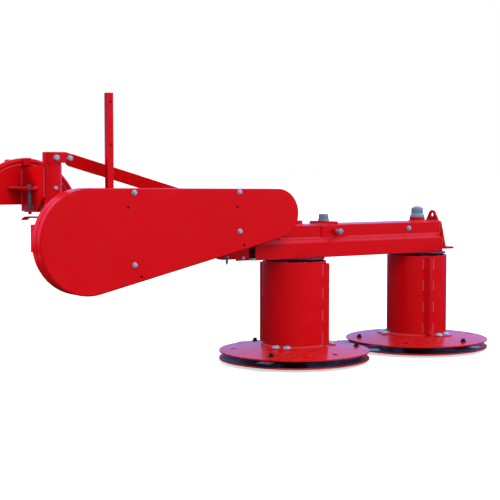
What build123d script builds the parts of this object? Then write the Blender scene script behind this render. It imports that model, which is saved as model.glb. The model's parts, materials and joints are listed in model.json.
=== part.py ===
import os
from math import atan2, cos, degrees, hypot, radians, sin, sqrt

from build123d import *

# Side-mounted two-drum rotary mower for a compact tractor's rear three-point hitch.
# Origin on the floor under the inner drum's axis. +X runs out along the beam, +Y is the
# direction of travel, +Z is up. All sizes in millimetres, angles in degrees.

os.makedirs("parts", exist_ok=True)

# Clearances
run = 0.3
seat = 0.2

# Rotors
drum_spacing = 560
drum_radius = 109.5
drum_wall = 6
drum_foot_z = 61
drum_height = 289
drum_web_depth = 10
ridge_leg = 28
ridge_wall = 4
ridge_sink = 1
ridge_foot_gap = 4
ridge_top_gap = 7
disc_radius = 260
disc_drop = 20
disc_sheet = 4
disc_hub_radius = 50
disc_hub_height = 20
pad_inner_radius = 113
pad_outer_radius = 141
pad_width = 66
pad_proud = 3
slot_inset = 48
slot_length = 24
slot_width = 16

# Knives and what holds them
knives_per_drum = 3
pin_inset = 40
pin_radius = 8
pin_head_radius = 9.5
pin_head_height = 13
pin_collar_radius = 14
holder_bottom_z = 20
holder_thickness = 6
holder_width = 44
holder_inner_radius = 120
holder_block_setback = 8
holder_tip = 18
collar_height = 5
knife_thickness = 4
knife_reach = 80
knife_tail = 22
knife_width = 46
knife_edge_bevel = 9

# Skid dishes
dish_sole_radius = 160
dish_rim_rise = 11
dish_sheet = 4.5
dish_hub_radius = 46
dish_hub_height = 18

# Drum axles
axle_radius = 30
flange_radius = 105
flange_thickness = 6
flange_gap = 6
boss_radius = 28
boss_height = 14.5
axle_washer_radius = 27
axle_washer_height = 5
axle_cone_top_radius = 22
axle_cone_height = 10
axle_nut_across = 41
axle_nut_height = 20
axle_stud_radius = 12
axle_stud_rise = 5

# Beam: folded lower channel with sloping shoulders, and a narrower box along its top
beam_start_x = -212
beam_overhang = 58
channel_half_width = 75
channel_face_height = 52
channel_corner = 15
shoulder_rise = 14
box_half_width = 60
box_height = 45
box_edge = 4
beam_wall = 5

# Idler plate on the box and the tension pad on its rear face
idler_x = 126
idler_plate_length = 53
idler_plate_width = 94
idler_plate_thickness = 9.5
idler_collar_radius = 19
idler_collar_height = 8
idler_nut_across = 34
idler_nut_height = 12
idler_stud_radius = 10
idler_stud_rise = 5.5
tension_pad_length = 112
tension_pad_thickness = 4
tension_pad_margin = 2
tension_collar_radius = 11
tension_collar_length = 10
tension_bolt_radius = 5
tension_bolt_length = 18
tension_head_across = 17
tension_head_height = 8

# Plate that closes the beam's outer end
end_plate_thickness = 8
end_plate_foot_half_width = 88
end_foot_length = 36
end_foot_rise = 10
ear_y = -15
ear_radius = 17
ear_hole_radius = 8
ear_rise = 23
ear_base_half_width = 33

# Belt guard
guard_rear_y = -150
cover_depth = 27
seam_width = 5
base_depth = 28
guard_sheet = 3
guard_big_from_post = 38
guard_big_z = 446
guard_big_radius = 161
guard_small_from_beam = 41
guard_small_z = 519
guard_small_radius = 81
cover_edge = 5
seam_lip = 8
guard_hole_radius = 4
# columns: end of the guard, place outward from that end's centre, height above it
guard_holes = [
    ("big", 127, 102),
    ("big", 171, -110),
    ("small", -162, 24),
    ("small", -135, -99),
]

# Hinge post
post_x = -890
post_y = 30
post_radius = 27
post_top_z = 715
post_foot_z = 490
post_collar_radius = 38
post_collar_height = 10

# Frame arm behind the guard
arm_bottom_z = 500
arm_height = 80
arm_wall = 5
arm_start_gap = 44
guard_gap = 30
strap_thickness = 2.5
strap_height = 33
strap_tail = 50
strap_cut_length = 18
strap_cut_drop = 6
brace_height = 38
brace_thickness = 10
brace_start = 52
brace_start_drop = 25
brace_end_from_housing = 145
brace_end_rise = 58
sleeve_radius = 37
sleeve_top_z = 540
spacer_length = 50
spacer_height = 40
spacer_from_start = 236
spacer_from_housing = 124
bracket_length = 142
bracket_slope_length = 21
bracket_slope_rise = 32
bracket_thickness = 8
bracket_gap = 2
bracket_foot_rise = 8
bracket_tab_length = 47
bracket_tab_slope = 4
bracket_flange_depth = 28
bracket_flange_length = 56
bracket_flange_thickness = 5
beam_tie_depth = 30
beam_tie_height = 7

# Housing of the last gear pair, between arm and beam
gear_housing_length = 126
gear_housing_overlap = 112
gear_housing_half_width = 58
gear_housing_top_z = 588
gear_boss_radius = 54
gear_housing_edge = 10

# Input shaft, six-spline 1 3/8 inch, and its bearing housing
input_major_radius = 17.4
input_minor_radius = 14.9
spline_count = 6
spline_width = 8.6
spline_length = 76
lock_groove_from_end = 38
lock_groove_width = 7
input_boss_radius = 42
input_boss_length = 44
housing_inward = 151
housing_outward = 76
housing_bottom_z = 418
housing_top_z = 500
housing_tab_outward = 70
housing_tab_height = 70

# Parking stand
stand_from_post = 140
stand_size = 20
stand_top_z = 894
stand_foot_z = 312
stand_hole_radius = 4
stand_hole_drops = (28, 159, 325)
stand_foot_length = 56
stand_foot_thickness = 6
stand_socket_height = 90
stand_play = 0.4

# Hitch headstock
arch_inward_of_post = 24
arch_ahead_of_post = 155
arch_centre_z = 514
arch_radius = 184
arch_bar_radius = 10
arch_web_thickness = 10
arch_web_bottom_z = 552
leg_width = 60
leg_thickness = 14
leg_top_offset = 115
leg_top_z = 575
lower_link_spread = 400
mast_height = 360
top_link_z = 674
link_pin_radius = 11
link_pin_length = 92
link_flange_radius = 28
link_flange_thickness = 8
linch_hole_radius = 5.5
ear_plate_thickness = 12
ear_gap = 52
ear_eye_radius = 20
ear_reach = 50
ear_foot_depth = 10
ear_foot_low_z = 584
ear_foot_high_z = 658
top_link_hole_radius = 9.7
apex_lug_width = 24
apex_lug_height = 22
apex_lug_depth = 14
bracket_left_half_width = 35
bracket_left_wall = 10
bracket_right_half_width = 31
bracket_right_wall = 6
bracket_low_z = 531
bracket_plate_thickness = 6
bracket_weld_low_z = 577
bracket_top_z = 676
bracket_top_fall = 10
bracket_taper = 43
bracket_plate_start = 46
bracket_tongue = 20
bracket_tongue_gap = 40
gusset_z = 600
gusset_thickness = 6
gusset_reach = 49
gusset_start = 30
screw_inward_of_post = 45
screw_ahead_of_post = 68
screw_radius = 6
screw_top_z = 614
screw_foot_z = 524
latch_top_z = 518
latch_thickness = 5
latch_width = 36
latch_margin = 10
latch_hole_play = 1
latch_lip = 12.5
latch_lip_angle = 35

# Levels and places worked out from the sizes above
drum_top_z = drum_foot_z + drum_height
disc_rim_z = drum_foot_z - disc_drop
disc_slope = disc_drop / (disc_radius - drum_radius)
slot_radius = disc_radius - slot_inset
pin_circle = disc_radius - pin_inset
holder_block_radius = (holder_inner_radius + pin_circle) / 2 - holder_block_setback
flange_bottom_z = drum_top_z + flange_gap
beam_bottom_z = flange_bottom_z + flange_thickness
beam_end_x = drum_spacing + beam_overhang
shoulder_z = beam_bottom_z + channel_face_height
box_bottom_z = shoulder_z + shoulder_rise
box_top_z = box_bottom_z + box_height
holder_top_z = holder_bottom_z + holder_thickness
knife_bottom_z = holder_top_z + collar_height + run
guard_seam_y = guard_rear_y + cover_depth
guard_front_y = guard_seam_y + seam_width + base_depth
arm_rear_y = guard_front_y + guard_gap
arm_front_y = post_y - post_radius - run
arm_start_x = post_x + arm_start_gap
arm_top_z = arm_bottom_z + arm_height
gear_housing_right_x = beam_start_x + gear_housing_overlap
gear_housing_left_x = gear_housing_right_x - gear_housing_length
bracket_right_x = gear_housing_left_x - bracket_gap
bracket_left_x = bracket_right_x - bracket_length
bracket_foot_z = beam_bottom_z + bracket_foot_rise
guard_big_x = post_x + guard_big_from_post
guard_small_x = beam_start_x + guard_small_from_beam
housing_left_x = guard_big_x - housing_inward
housing_right_x = guard_big_x + housing_outward
housing_tab_right_x = guard_big_x + housing_tab_outward
stand_x = post_x + stand_from_post
arch_x = post_x - arch_inward_of_post
arch_y = post_y + arch_ahead_of_post
screw_x = post_x - screw_inward_of_post
screw_y = post_y + screw_ahead_of_post
end_foot_z = beam_bottom_z + end_foot_rise
strap_bottom_z = post_top_z - strap_height
lower_link_z = top_link_z - mast_height
leg_foot_offset = lower_link_spread / 2 - link_flange_thickness
web_rear_y = arch_y - arch_web_thickness / 2
web_front_y = arch_y + arch_web_thickness / 2


def upright(x=0, y=0, angle=0):
    outward = Vector(1, 0, 0).rotate(Axis.Z, angle)
    return Plane((x, y, 0), x_dir=outward, z_dir=outward.rotate(Axis.Z, -90))


def sideways(x):
    return Plane((x, 0, 0), x_dir=(0, 1, 0), z_dir=(1, 0, 0))


def radial(x, angle):
    return Plane((x, 0, 0)).rotated((0, 0, angle))


def cone_z(radius):
    return drum_foot_z - (radius - drum_radius) * disc_slope


def save(piece, name):
    piece.part.label = name
    export_step(piece.part, f"parts/{name}.step")


# Both rotors turn against each other, with the knives of one about midway between the other's.
# columns: name, axis x, angle of the first knife, angle of the first ridge
rotors = [
    ("inner", 0, -26, -54),
    ("outer", drum_spacing, 38, 71),
]
knife_pitch = 360 / knives_per_drum

for side, axis_x, knife_angle, ridge_angle in rotors:
    spin = Axis((axis_x, 0, 0), (0, 0, 1))
    knife_angles = [knife_angle + turn * knife_pitch for turn in range(knives_per_drum)]
    bore_radius = axle_radius + run

    # Drum: tube with a web just below its top rim and two angle irons welded on as ridges
    web_top_z = drum_top_z - drum_web_depth
    with BuildPart() as drum:
        with BuildSketch(upright(axis_x)):
            with BuildLine():
                Polyline(
                    (drum_radius - drum_wall, drum_foot_z),
                    (drum_radius, drum_foot_z),
                    (drum_radius, drum_top_z),
                    (drum_radius - drum_wall, drum_top_z),
                    (drum_radius - drum_wall, web_top_z),
                    (bore_radius, web_top_z),
                    (bore_radius, web_top_z - drum_wall),
                    (drum_radius - drum_wall, web_top_z - drum_wall),
                    close=True,
                )
            make_face()
        revolve(axis=spin)
        ridge_half = ridge_leg / sqrt(2)
        ridge_skin = ridge_wall * sqrt(2)
        ridge_toe = sqrt(drum_radius**2 - ridge_half**2) - ridge_sink
        for ridge_turn in (ridge_angle, ridge_angle + 180):
            with BuildSketch(radial(axis_x, ridge_turn).offset(drum_foot_z + ridge_foot_gap)):
                with BuildLine():
                    Polyline(
                        (ridge_toe, -ridge_half),
                        (ridge_toe + ridge_half, 0),
                        (ridge_toe, ridge_half),
                        (ridge_toe, ridge_half - ridge_skin),
                        (ridge_toe + ridge_half - ridge_skin, 0),
                        (ridge_toe, ridge_skin - ridge_half),
                        close=True,
                    )
                make_face()
            extrude(amount=drum_height - ridge_foot_gap - ridge_top_gap)
    save(drum, f"drum_{side}")

    # Cutting disc: hub, flat web under the drum and a shallow cone, with bolting pads and slots
    with BuildPart() as disc:
        with BuildSketch(upright(axis_x)):
            with BuildLine():
                Polyline(
                    (bore_radius, drum_foot_z),
                    (drum_radius, drum_foot_z),
                    (disc_radius, disc_rim_z),
                    (disc_radius, disc_rim_z - disc_sheet),
                    (drum_radius, drum_foot_z - disc_sheet),
                    (disc_hub_radius, drum_foot_z - disc_sheet),
                    (disc_hub_radius, drum_foot_z - disc_hub_height),
                    (bore_radius, drum_foot_z - disc_hub_height),
                    close=True,
                )
            make_face()
        revolve(axis=spin)
        for angle in knife_angles:
            with BuildSketch(upright(axis_x, angle=angle)):
                with BuildLine():
                    Polyline(
                        (pad_inner_radius, cone_z(pad_inner_radius) - disc_sheet / 2),
                        (pad_outer_radius, cone_z(pad_outer_radius) - disc_sheet / 2),
                        (pad_outer_radius, cone_z(pad_outer_radius) + pad_proud),
                        (pad_inner_radius, cone_z(pad_inner_radius) + pad_proud),
                        close=True,
                    )
                make_face()
            extrude(amount=pad_width / 2, both=True)
        for angle in knife_angles:
            with Locations(radial(axis_x, angle)):
                with Locations((pin_circle, 0, disc_rim_z)):
                    Cylinder(pin_radius + run, disc_drop * 2, mode=Mode.SUBTRACT)
            with BuildSketch(radial(axis_x, angle + knife_pitch / 2)):
                with Locations((slot_radius, 0)):
                    SlotOverall(slot_length, slot_width)
            extrude(amount=drum_foot_z, mode=Mode.SUBTRACT)
    save(disc, f"disc_{side}")

    # Knife holders: a block bolted under the disc with a flat bar out to the pin
    with BuildPart() as holders:
        for angle in knife_angles:
            with BuildSketch(upright(axis_x, angle=angle)):
                with BuildLine():
                    Polyline(
                        (holder_inner_radius, holder_bottom_z),
                        (pin_circle + holder_tip, holder_bottom_z),
                        (pin_circle + holder_tip, holder_top_z),
                        (holder_block_radius, holder_top_z),
                        (holder_block_radius, cone_z(holder_block_radius) - disc_sheet - 2 * run),
                        (holder_inner_radius, cone_z(holder_inner_radius) - disc_sheet - 2 * run),
                        close=True,
                    )
                make_face()
            extrude(amount=holder_width / 2, both=True)
            with Locations(radial(axis_x, angle)):
                with Locations((pin_circle, 0, holder_bottom_z)):
                    Cylinder(pin_radius + seat, disc_drop * 2, mode=Mode.SUBTRACT)
    save(holders, f"knife_holders_{side}")

    # Knife pins: collar under the knife, shank up through the disc, plain round head on top
    with BuildPart() as pins:
        for angle in knife_angles:
            head_z = cone_z(pin_circle - pin_head_radius) + seat
            with BuildSketch(upright(axis_x, angle=angle)):
                with BuildLine():
                    Polyline(
                        (pin_circle, holder_bottom_z),
                        (pin_circle + pin_radius, holder_bottom_z),
                        (pin_circle + pin_radius, holder_top_z + seat),
                        (pin_circle + pin_collar_radius, holder_top_z + seat),
                        (pin_circle + pin_collar_radius, holder_top_z + collar_height),
                        (pin_circle + pin_radius, holder_top_z + collar_height),
                        (pin_circle + pin_radius, head_z),
                        (pin_circle + pin_head_radius, head_z),
                        (pin_circle + pin_head_radius, head_z + pin_head_height),
                        (pin_circle, head_z + pin_head_height),
                        close=True,
                    )
                make_face()
            pin_foot = radial(axis_x, angle).from_local_coords((pin_circle, 0, 0))
            revolve(axis=Axis(pin_foot, (0, 0, 1)))
    save(pins, f"knife_pins_{side}")

    # Knives: bevelled on both long edges, free on their pins
    for number, angle in enumerate(knife_angles, start=1):
        blade = radial(axis_x, angle).offset(knife_bottom_z)
        with BuildPart() as knife:
            with BuildSketch(blade):
                with Locations((pin_circle, 0)):
                    Circle(knife_tail)
                with Locations((pin_circle + knife_reach / 2, 0)):
                    Rectangle(knife_reach, knife_width)
                with Locations((pin_circle, 0)):
                    Circle(pin_radius + run, mode=Mode.SUBTRACT)
            extrude(amount=knife_thickness)
            top_edges = knife.edges().group_by(Axis.Z)[-1].filter_by(GeomType.LINE)
            long_edges = top_edges.filter_by(lambda edge: abs(edge.length - knife_reach) < knife_tail)
            chamfer(long_edges, length=knife_thickness / 2, length2=knife_edge_bevel)
        save(knife, f"knife_{side}_{number}")

    # Skid dish: shallow pan that turns free on the axle's foot
    with BuildPart() as dish:
        with BuildSketch(upright(axis_x)):
            with BuildLine():
                Polyline((0, dish_sheet), (0, 0), (dish_sole_radius, 0))
                TangentArc((dish_sole_radius, 0), (disc_radius, dish_rim_rise), tangent=(1, 0))
                Line((disc_radius, dish_rim_rise), (disc_radius, dish_rim_rise + dish_sheet))
                TangentArc(
                    (dish_sole_radius, dish_sheet),
                    (disc_radius, dish_rim_rise + dish_sheet),
                    tangent=(1, 0),
                )
                Polyline(
                    (dish_sole_radius, dish_sheet),
                    (dish_hub_radius, dish_sheet),
                    (dish_hub_radius, dish_hub_height),
                    (bore_radius, dish_hub_height),
                    (bore_radius, dish_sheet),
                    (0, dish_sheet),
                )
            make_face()
        revolve(axis=spin)
    save(dish, f"skid_dish_{side}")

    # Axle: fixed under the beam by its flange, down through the drum to the dish
    with BuildPart() as axle:
        with BuildSketch(Plane.XY.offset(dish_sheet + 2 * run)):
            with Locations((axis_x, 0)):
                Circle(axle_radius)
        extrude(amount=flange_bottom_z - dish_sheet - 2 * run)
        with BuildSketch(Plane.XY.offset(flange_bottom_z)):
            with Locations((axis_x, 0)):
                Circle(flange_radius)
        extrude(amount=flange_thickness)
    save(axle, f"axle_{side}")

    # Boss on top of the beam, above the axle
    with BuildPart() as boss:
        with BuildSketch(Plane.XY.offset(box_top_z)):
            with Locations((axis_x, 0)):
                Circle(boss_radius)
        extrude(amount=boss_height)
    save(boss, f"axle_boss_{side}")

# Nut on the outer axle's boss: washer, coned foot, hexagon and stud end
with BuildPart() as axle_nut:
    washer_z = box_top_z + boss_height
    cone_foot_z = washer_z + axle_washer_height
    hexagon_z = cone_foot_z + axle_cone_height
    with BuildSketch(upright(drum_spacing)):
        with BuildLine():
            Polyline(
                (0, washer_z),
                (axle_washer_radius, washer_z),
                (axle_washer_radius, cone_foot_z),
                (axle_cone_top_radius, hexagon_z),
                (0, hexagon_z),
                close=True,
            )
        make_face()
    revolve(axis=Axis((drum_spacing, 0, 0), (0, 0, 1)))
    with BuildSketch(Plane.XY.offset(hexagon_z)):
        with Locations((drum_spacing, 0)):
            RegularPolygon(axle_nut_across / 2, 6, major_radius=False)
    extrude(amount=axle_nut_height)
    with BuildSketch(Plane.XY.offset(hexagon_z + axle_nut_height)):
        with Locations((drum_spacing, 0)):
            Circle(axle_stud_radius)
    extrude(amount=axle_stud_rise)
save(axle_nut, "axle_nut_outer")

# Beam channel: folded sheet with an open inner end, its upper corner rounded off
with BuildPart() as channel:
    for inset, mode in ((0, Mode.ADD), (beam_wall, Mode.SUBTRACT)):
        with BuildSketch(sideways(beam_start_x)):
            with BuildLine():
                Polyline(
                    (-channel_half_width + inset, beam_bottom_z + inset),
                    (channel_half_width - inset, beam_bottom_z + inset),
                    (channel_half_width - inset, shoulder_z),
                    (box_half_width - inset, box_bottom_z - inset),
                    (-box_half_width + inset, box_bottom_z - inset),
                    (-channel_half_width + inset, shoulder_z),
                    close=True,
                )
            make_face()
        extrude(amount=beam_end_x - beam_start_x, mode=mode)
    corner_x = beam_start_x + channel_corner
    corner_z = shoulder_z - channel_corner
    with BuildSketch(Plane.XZ):
        with Locations((corner_x, corner_z)):
            Rectangle(channel_corner, channel_corner + shoulder_rise, align=(Align.MAX, Align.MIN))
            Circle(channel_corner, mode=Mode.SUBTRACT)
    extrude(amount=channel_half_width, both=True, mode=Mode.SUBTRACT)
save(channel, "beam_channel")

# Beam box: rectangular tube along the channel's top, open where the end plate closes it
with BuildPart() as box:
    box_middle_z = box_bottom_z + box_height / 2
    for inset, mode in ((0, Mode.ADD), (beam_wall, Mode.SUBTRACT)):
        with BuildSketch(sideways(gear_housing_right_x + inset)):
            with Locations((0, box_middle_z)):
                Rectangle(2 * (box_half_width - inset), box_height - 2 * inset)
        extrude(amount=beam_end_x - gear_housing_right_x - inset, mode=mode)
    long_top = box.edges().filter_by(Axis.X).group_by(Axis.Z)[-1]
    fillet(long_top, radius=box_edge)
save(box, "beam_box")

# Plate across the beam's outer end, with its lifting ear and foot flange
with BuildPart() as end_plate:
    with BuildSketch(sideways(beam_end_x)):
        with BuildLine():
            Polyline(
                (-end_plate_foot_half_width, end_foot_z),
                (end_plate_foot_half_width, end_foot_z),
                (box_half_width, box_top_z),
                (-box_half_width, box_top_z),
                close=True,
            )
        make_face()
    extrude(amount=end_plate_thickness)
    with BuildSketch(sideways(beam_end_x)):
        with Locations((ear_y, box_top_z + ear_rise)):
            Circle(ear_radius)
        with Locations((ear_y, box_top_z - ear_radius / 2)):
            Rectangle(2 * ear_base_half_width, ear_radius)
        make_hull()
        with Locations((ear_y, box_top_z + ear_rise)):
            Circle(ear_hole_radius, mode=Mode.SUBTRACT)
    extrude(amount=end_plate_thickness)
    with Locations((beam_end_x, 0, end_foot_z)):
        Box(
            end_plate_thickness + end_foot_length,
            2 * end_plate_foot_half_width,
            end_plate_thickness,
            align=(Align.MIN, Align.CENTER, Align.MIN),
        )
save(end_plate, "beam_end_plate")

# Idler plate across the top of the box, and its nut with collar and stud end
with BuildPart() as idler_plate:
    with Locations((idler_x, 0, box_top_z)):
        Box(
            idler_plate_length,
            idler_plate_width,
            idler_plate_thickness,
            align=(Align.CENTER, Align.CENTER, Align.MIN),
        )
save(idler_plate, "idler_plate")

with BuildPart() as idler_nut:
    collar_z = box_top_z + idler_plate_thickness
    with BuildSketch(Plane.XY.offset(collar_z)):
        with Locations((idler_x, 0)):
            Circle(idler_collar_radius)
    extrude(amount=idler_collar_height)
    with BuildSketch(Plane.XY.offset(collar_z + idler_collar_height)):
        with Locations((idler_x, 0)):
            RegularPolygon(idler_nut_across / 2, 6, major_radius=False)
    extrude(amount=idler_nut_height)
    with BuildSketch(Plane.XY.offset(collar_z + idler_collar_height + idler_nut_height)):
        with Locations((idler_x, 0)):
            Circle(idler_stud_radius)
    extrude(amount=idler_stud_rise)
save(idler_nut, "idler_nut")

# Tension pad with its collar on the rear face of the box, and the bolt out of the collar
bolt_place = (idler_x, box_bottom_z + box_height / 2)
pad_rear_y = -box_half_width - tension_pad_thickness
with BuildPart() as tension_pad:
    with Locations((idler_x, -box_half_width, box_bottom_z + tension_pad_margin)):
        Box(
            tension_pad_length,
            tension_pad_thickness,
            box_height - 4 * tension_pad_margin,
            align=(Align.CENTER, Align.MAX, Align.MIN),
        )
    with BuildSketch(upright(y=pad_rear_y)):
        with Locations(bolt_place):
            Circle(tension_collar_radius)
    extrude(amount=tension_collar_length)
save(tension_pad, "tension_pad")

with BuildPart() as tension_bolt:
    collar_end_y = pad_rear_y - tension_collar_length
    with BuildSketch(upright(y=collar_end_y)):
        with Locations(bolt_place):
            Circle(tension_bolt_radius)
    extrude(amount=tension_bolt_length)
    with BuildSketch(upright(y=collar_end_y - tension_bolt_length)):
        with Locations(bolt_place):
            RegularPolygon(tension_head_across / 2, 6, major_radius=False)
    extrude(amount=tension_head_height)
save(tension_bolt, "tension_bolt")


# Belt guard: a pan-shaped base and a deep-rimmed cover with four holes, with an open seam groove between
def teardrop(inset):
    with Locations((guard_big_x, guard_big_z)):
        Circle(guard_big_radius - inset)
    with Locations((guard_small_x, guard_small_z)):
        Circle(guard_small_radius - inset)
    make_hull()


guard_ends = {"big": (guard_big_x, guard_big_z), "small": (guard_small_x, guard_small_z)}
with BuildPart() as cover:
    with BuildSketch(upright(y=guard_rear_y)):
        teardrop(0)
    extrude(amount=-cover_depth)
    fillet(cover.faces().sort_by(Axis.Y)[0].edges(), radius=cover_edge)
    with BuildSketch(upright(y=guard_rear_y + guard_sheet)):
        teardrop(guard_sheet)
    extrude(amount=-cover_depth, mode=Mode.SUBTRACT)
    with BuildSketch(upright(y=guard_rear_y)):
        for end, outward, rise in guard_holes:
            end_x, end_z = guard_ends[end]
            with Locations((end_x + outward, end_z + rise)):
                Circle(guard_hole_radius)
    extrude(amount=-cover_edge, mode=Mode.SUBTRACT)
save(cover, "guard_cover")

with BuildPart() as base:
    with BuildSketch(upright(y=guard_seam_y + seam_width)):
        teardrop(0)
    extrude(amount=-base_depth)
    with BuildSketch(upright(y=guard_seam_y - seam_lip)):
        teardrop(guard_sheet + run)
    extrude(amount=-seam_lip - seam_width)
    with BuildSketch(upright(y=guard_seam_y - seam_lip)):
        teardrop(2 * guard_sheet + run)
    extrude(amount=-seam_lip - seam_width - base_depth + guard_sheet, mode=Mode.SUBTRACT)
save(base, "guard_base")

# Frame arm: rectangular tube from the hinge sleeve to the gear housing
arm_depth = arm_front_y - arm_rear_y
arm_middle = ((arm_front_y + arm_rear_y) / 2, arm_bottom_z + arm_height / 2)
with BuildPart() as arm:
    with BuildSketch(sideways(arm_start_x)):
        with Locations(arm_middle):
            Rectangle(arm_depth, arm_height)
            Rectangle(arm_depth - 2 * arm_wall, arm_height - 2 * arm_wall, mode=Mode.SUBTRACT)
    extrude(amount=gear_housing_left_x - arm_start_x)
save(arm, "frame_arm")

# Spacers that carry the guard on the arm
spacer_places = (arm_start_x + spacer_from_start, gear_housing_left_x - spacer_from_housing)
with BuildPart() as spacers:
    for spacer_x in spacer_places:
        with Locations((spacer_x, guard_front_y, arm_bottom_z + arm_height / 2)):
            Box(spacer_length, guard_gap, spacer_height, align=(Align.CENTER, Align.MIN, Align.CENTER))
save(spacers, "guard_spacers")

# Bracket plate that hangs from the arm beside the beam's inner end, with a tab down to the tie
# block and a flange along the other half of its foot
with BuildPart() as bracket:
    with BuildSketch(upright(y=arm_rear_y + bracket_thickness)):
        with BuildLine():
            Polyline(
                (bracket_left_x, arm_bottom_z),
                (bracket_right_x, arm_bottom_z),
                (bracket_right_x, beam_bottom_z),
                (bracket_right_x - bracket_tab_length, beam_bottom_z),
                (bracket_right_x - bracket_tab_length - bracket_tab_slope, bracket_foot_z),
                (bracket_left_x + bracket_slope_length, bracket_foot_z),
                (bracket_left_x, bracket_foot_z + bracket_slope_rise),
                close=True,
            )
        make_face()
    extrude(amount=bracket_thickness)
    with Locations((bracket_left_x + bracket_slope_length, arm_rear_y, bracket_foot_z)):
        Box(
            bracket_flange_length,
            bracket_flange_depth,
            bracket_flange_thickness,
            align=(Align.MIN, Align.MAX, Align.MIN),
        )
save(bracket, "beam_bracket")

# Tie block between the bracket and the end of the channel
with BuildPart() as beam_tie:
    with Locations((bracket_right_x, -channel_half_width, beam_bottom_z)):
        Box(
            beam_start_x - bracket_right_x,
            beam_tie_depth,
            beam_tie_height,
            align=(Align.MIN, Align.MIN, Align.MIN),
        )
save(beam_tie, "beam_tie")

# Gear housing on the beam's inner end, with the round boss that meets the guard
with BuildPart() as gear_housing:
    with Locations((gear_housing_left_x, 0, box_bottom_z)):
        Box(
            gear_housing_length,
            2 * gear_housing_half_width,
            gear_housing_top_z - box_bottom_z,
            align=(Align.MIN, Align.CENTER, Align.MIN),
        )
    fillet(gear_housing.edges().group_by(Axis.Z)[-1], radius=gear_housing_edge)
    with BuildSketch(upright(y=guard_front_y)):
        with Locations((guard_small_x, guard_small_z)):
            Circle(gear_boss_radius)
    extrude(amount=guard_front_y + gear_housing_half_width)
save(gear_housing, "gear_housing")

# Upper hinge: strap round the post, with its tail to the brace cut off at the upper corner
strap_end_x = post_x + strap_tail
with BuildPart() as strap:
    with BuildSketch(Plane.XY.offset(strap_bottom_z)):
        with Locations((post_x, post_y)):
            Circle(post_radius + run + strap_thickness)
            Circle(post_radius + run, mode=Mode.SUBTRACT)
    extrude(amount=strap_height)
    with BuildSketch(upright(y=arm_front_y)):
        with BuildLine():
            Polyline(
                (post_x, strap_bottom_z),
                (strap_end_x, strap_bottom_z),
                (strap_end_x, post_top_z - strap_cut_drop),
                (strap_end_x - strap_cut_length, post_top_z),
                (post_x, post_top_z),
                close=True,
            )
        make_face()
    extrude(amount=strap_thickness)
save(strap, "post_strap")

# Brace: flat bar from the strap's tail down to the arm's front face
brace_start_x = post_x + brace_start
brace_start_z = post_top_z - brace_start_drop
brace_run = gear_housing_left_x - brace_end_from_housing - brace_start_x
brace_fall = brace_start_z - arm_bottom_z - brace_end_rise
brace_length = hypot(brace_run, brace_fall)
brace_line = Plane(
    (brace_start_x, arm_front_y, brace_start_z),
    x_dir=(brace_run, 0, -brace_fall),
    z_dir=(0, -1, 0),
)
with BuildPart() as brace:
    with BuildSketch(brace_line):
        with Locations((brace_length / 2, 0)):
            SlotCenterToCenter(brace_length, brace_height)
    extrude(amount=-brace_thickness)
save(brace, "brace_bar")

# Lower hinge: sleeve on the post with the web that meets the arm's end
with BuildPart() as sleeve:
    with BuildSketch(Plane.XY.offset(post_foot_z)):
        with Locations((post_x, post_y)):
            Circle(sleeve_radius)
    extrude(amount=sleeve_top_z - post_foot_z)
    web_depth = post_y - arm_rear_y
    with Locations((post_x, post_y, arm_bottom_z)):
        Box(
            arm_start_gap,
            web_depth,
            sleeve_top_z - arm_bottom_z,
            align=(Align.MIN, Align.MAX, Align.MIN),
        )
    with Locations((post_x, post_y, post_foot_z)):
        Cylinder(
            post_radius + run,
            sleeve_top_z - post_foot_z,
            align=(Align.CENTER, Align.CENTER, Align.MIN),
            mode=Mode.SUBTRACT,
        )
save(sleeve, "hinge_sleeve")

# Latch plate on the sleeve, under the headstock's lock screw, with a bent lead-in
latch_angle = degrees(atan2(screw_y - post_y, screw_x - post_x))
latch_reach = hypot(screw_x - post_x, screw_y - post_y) + latch_margin
latch_bottom_z = latch_top_z - latch_thickness
lip_out = latch_lip * cos(radians(latch_lip_angle))
lip_drop = latch_lip * sin(radians(latch_lip_angle))
with BuildPart() as latch:
    with BuildSketch(upright(post_x, post_y, latch_angle)):
        with BuildLine():
            Polyline(
                (0, latch_bottom_z),
                (latch_reach, latch_bottom_z),
                (latch_reach + lip_out, latch_bottom_z - lip_drop),
                (latch_reach + lip_out, latch_top_z - lip_drop),
                (latch_reach, latch_top_z),
                (0, latch_top_z),
                close=True,
            )
        make_face()
    extrude(amount=latch_width / 2, both=True)
    with Locations((screw_x, screw_y, latch_top_z)):
        Cylinder(screw_radius + latch_hole_play, 4 * latch_thickness, mode=Mode.SUBTRACT)
    with Locations((post_x, post_y, latch_top_z)):
        Cylinder(sleeve_radius + seat, 4 * latch_thickness, mode=Mode.SUBTRACT)
save(latch, "latch_plate")

# Input bearing housing: mounting plate behind the guard, tab up to the arm, round boss
with BuildPart() as input_housing:
    with BuildSketch(upright(y=arm_rear_y)):
        with BuildLine():
            Polyline(
                (housing_left_x, housing_bottom_z),
                (housing_right_x, housing_bottom_z),
                (housing_right_x, housing_top_z),
                (housing_tab_right_x, housing_top_z),
                (housing_tab_right_x, housing_top_z + housing_tab_height),
                (arm_start_x, housing_top_z + housing_tab_height),
                (arm_start_x, housing_top_z),
                (housing_left_x, housing_top_z),
                close=True,
            )
        make_face()
    extrude(amount=guard_gap)
    with BuildSketch(upright(y=arm_rear_y)):
        with Locations((guard_big_x, guard_big_z)):
            Circle(input_boss_radius)
    extrude(amount=-input_boss_length)
    with BuildSketch(upright(y=guard_front_y)):
        with Locations((guard_big_x, guard_big_z)):
            Circle(input_major_radius + run)
    extrude(amount=-guard_gap - input_boss_length, mode=Mode.SUBTRACT)
save(input_housing, "input_housing")

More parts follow.
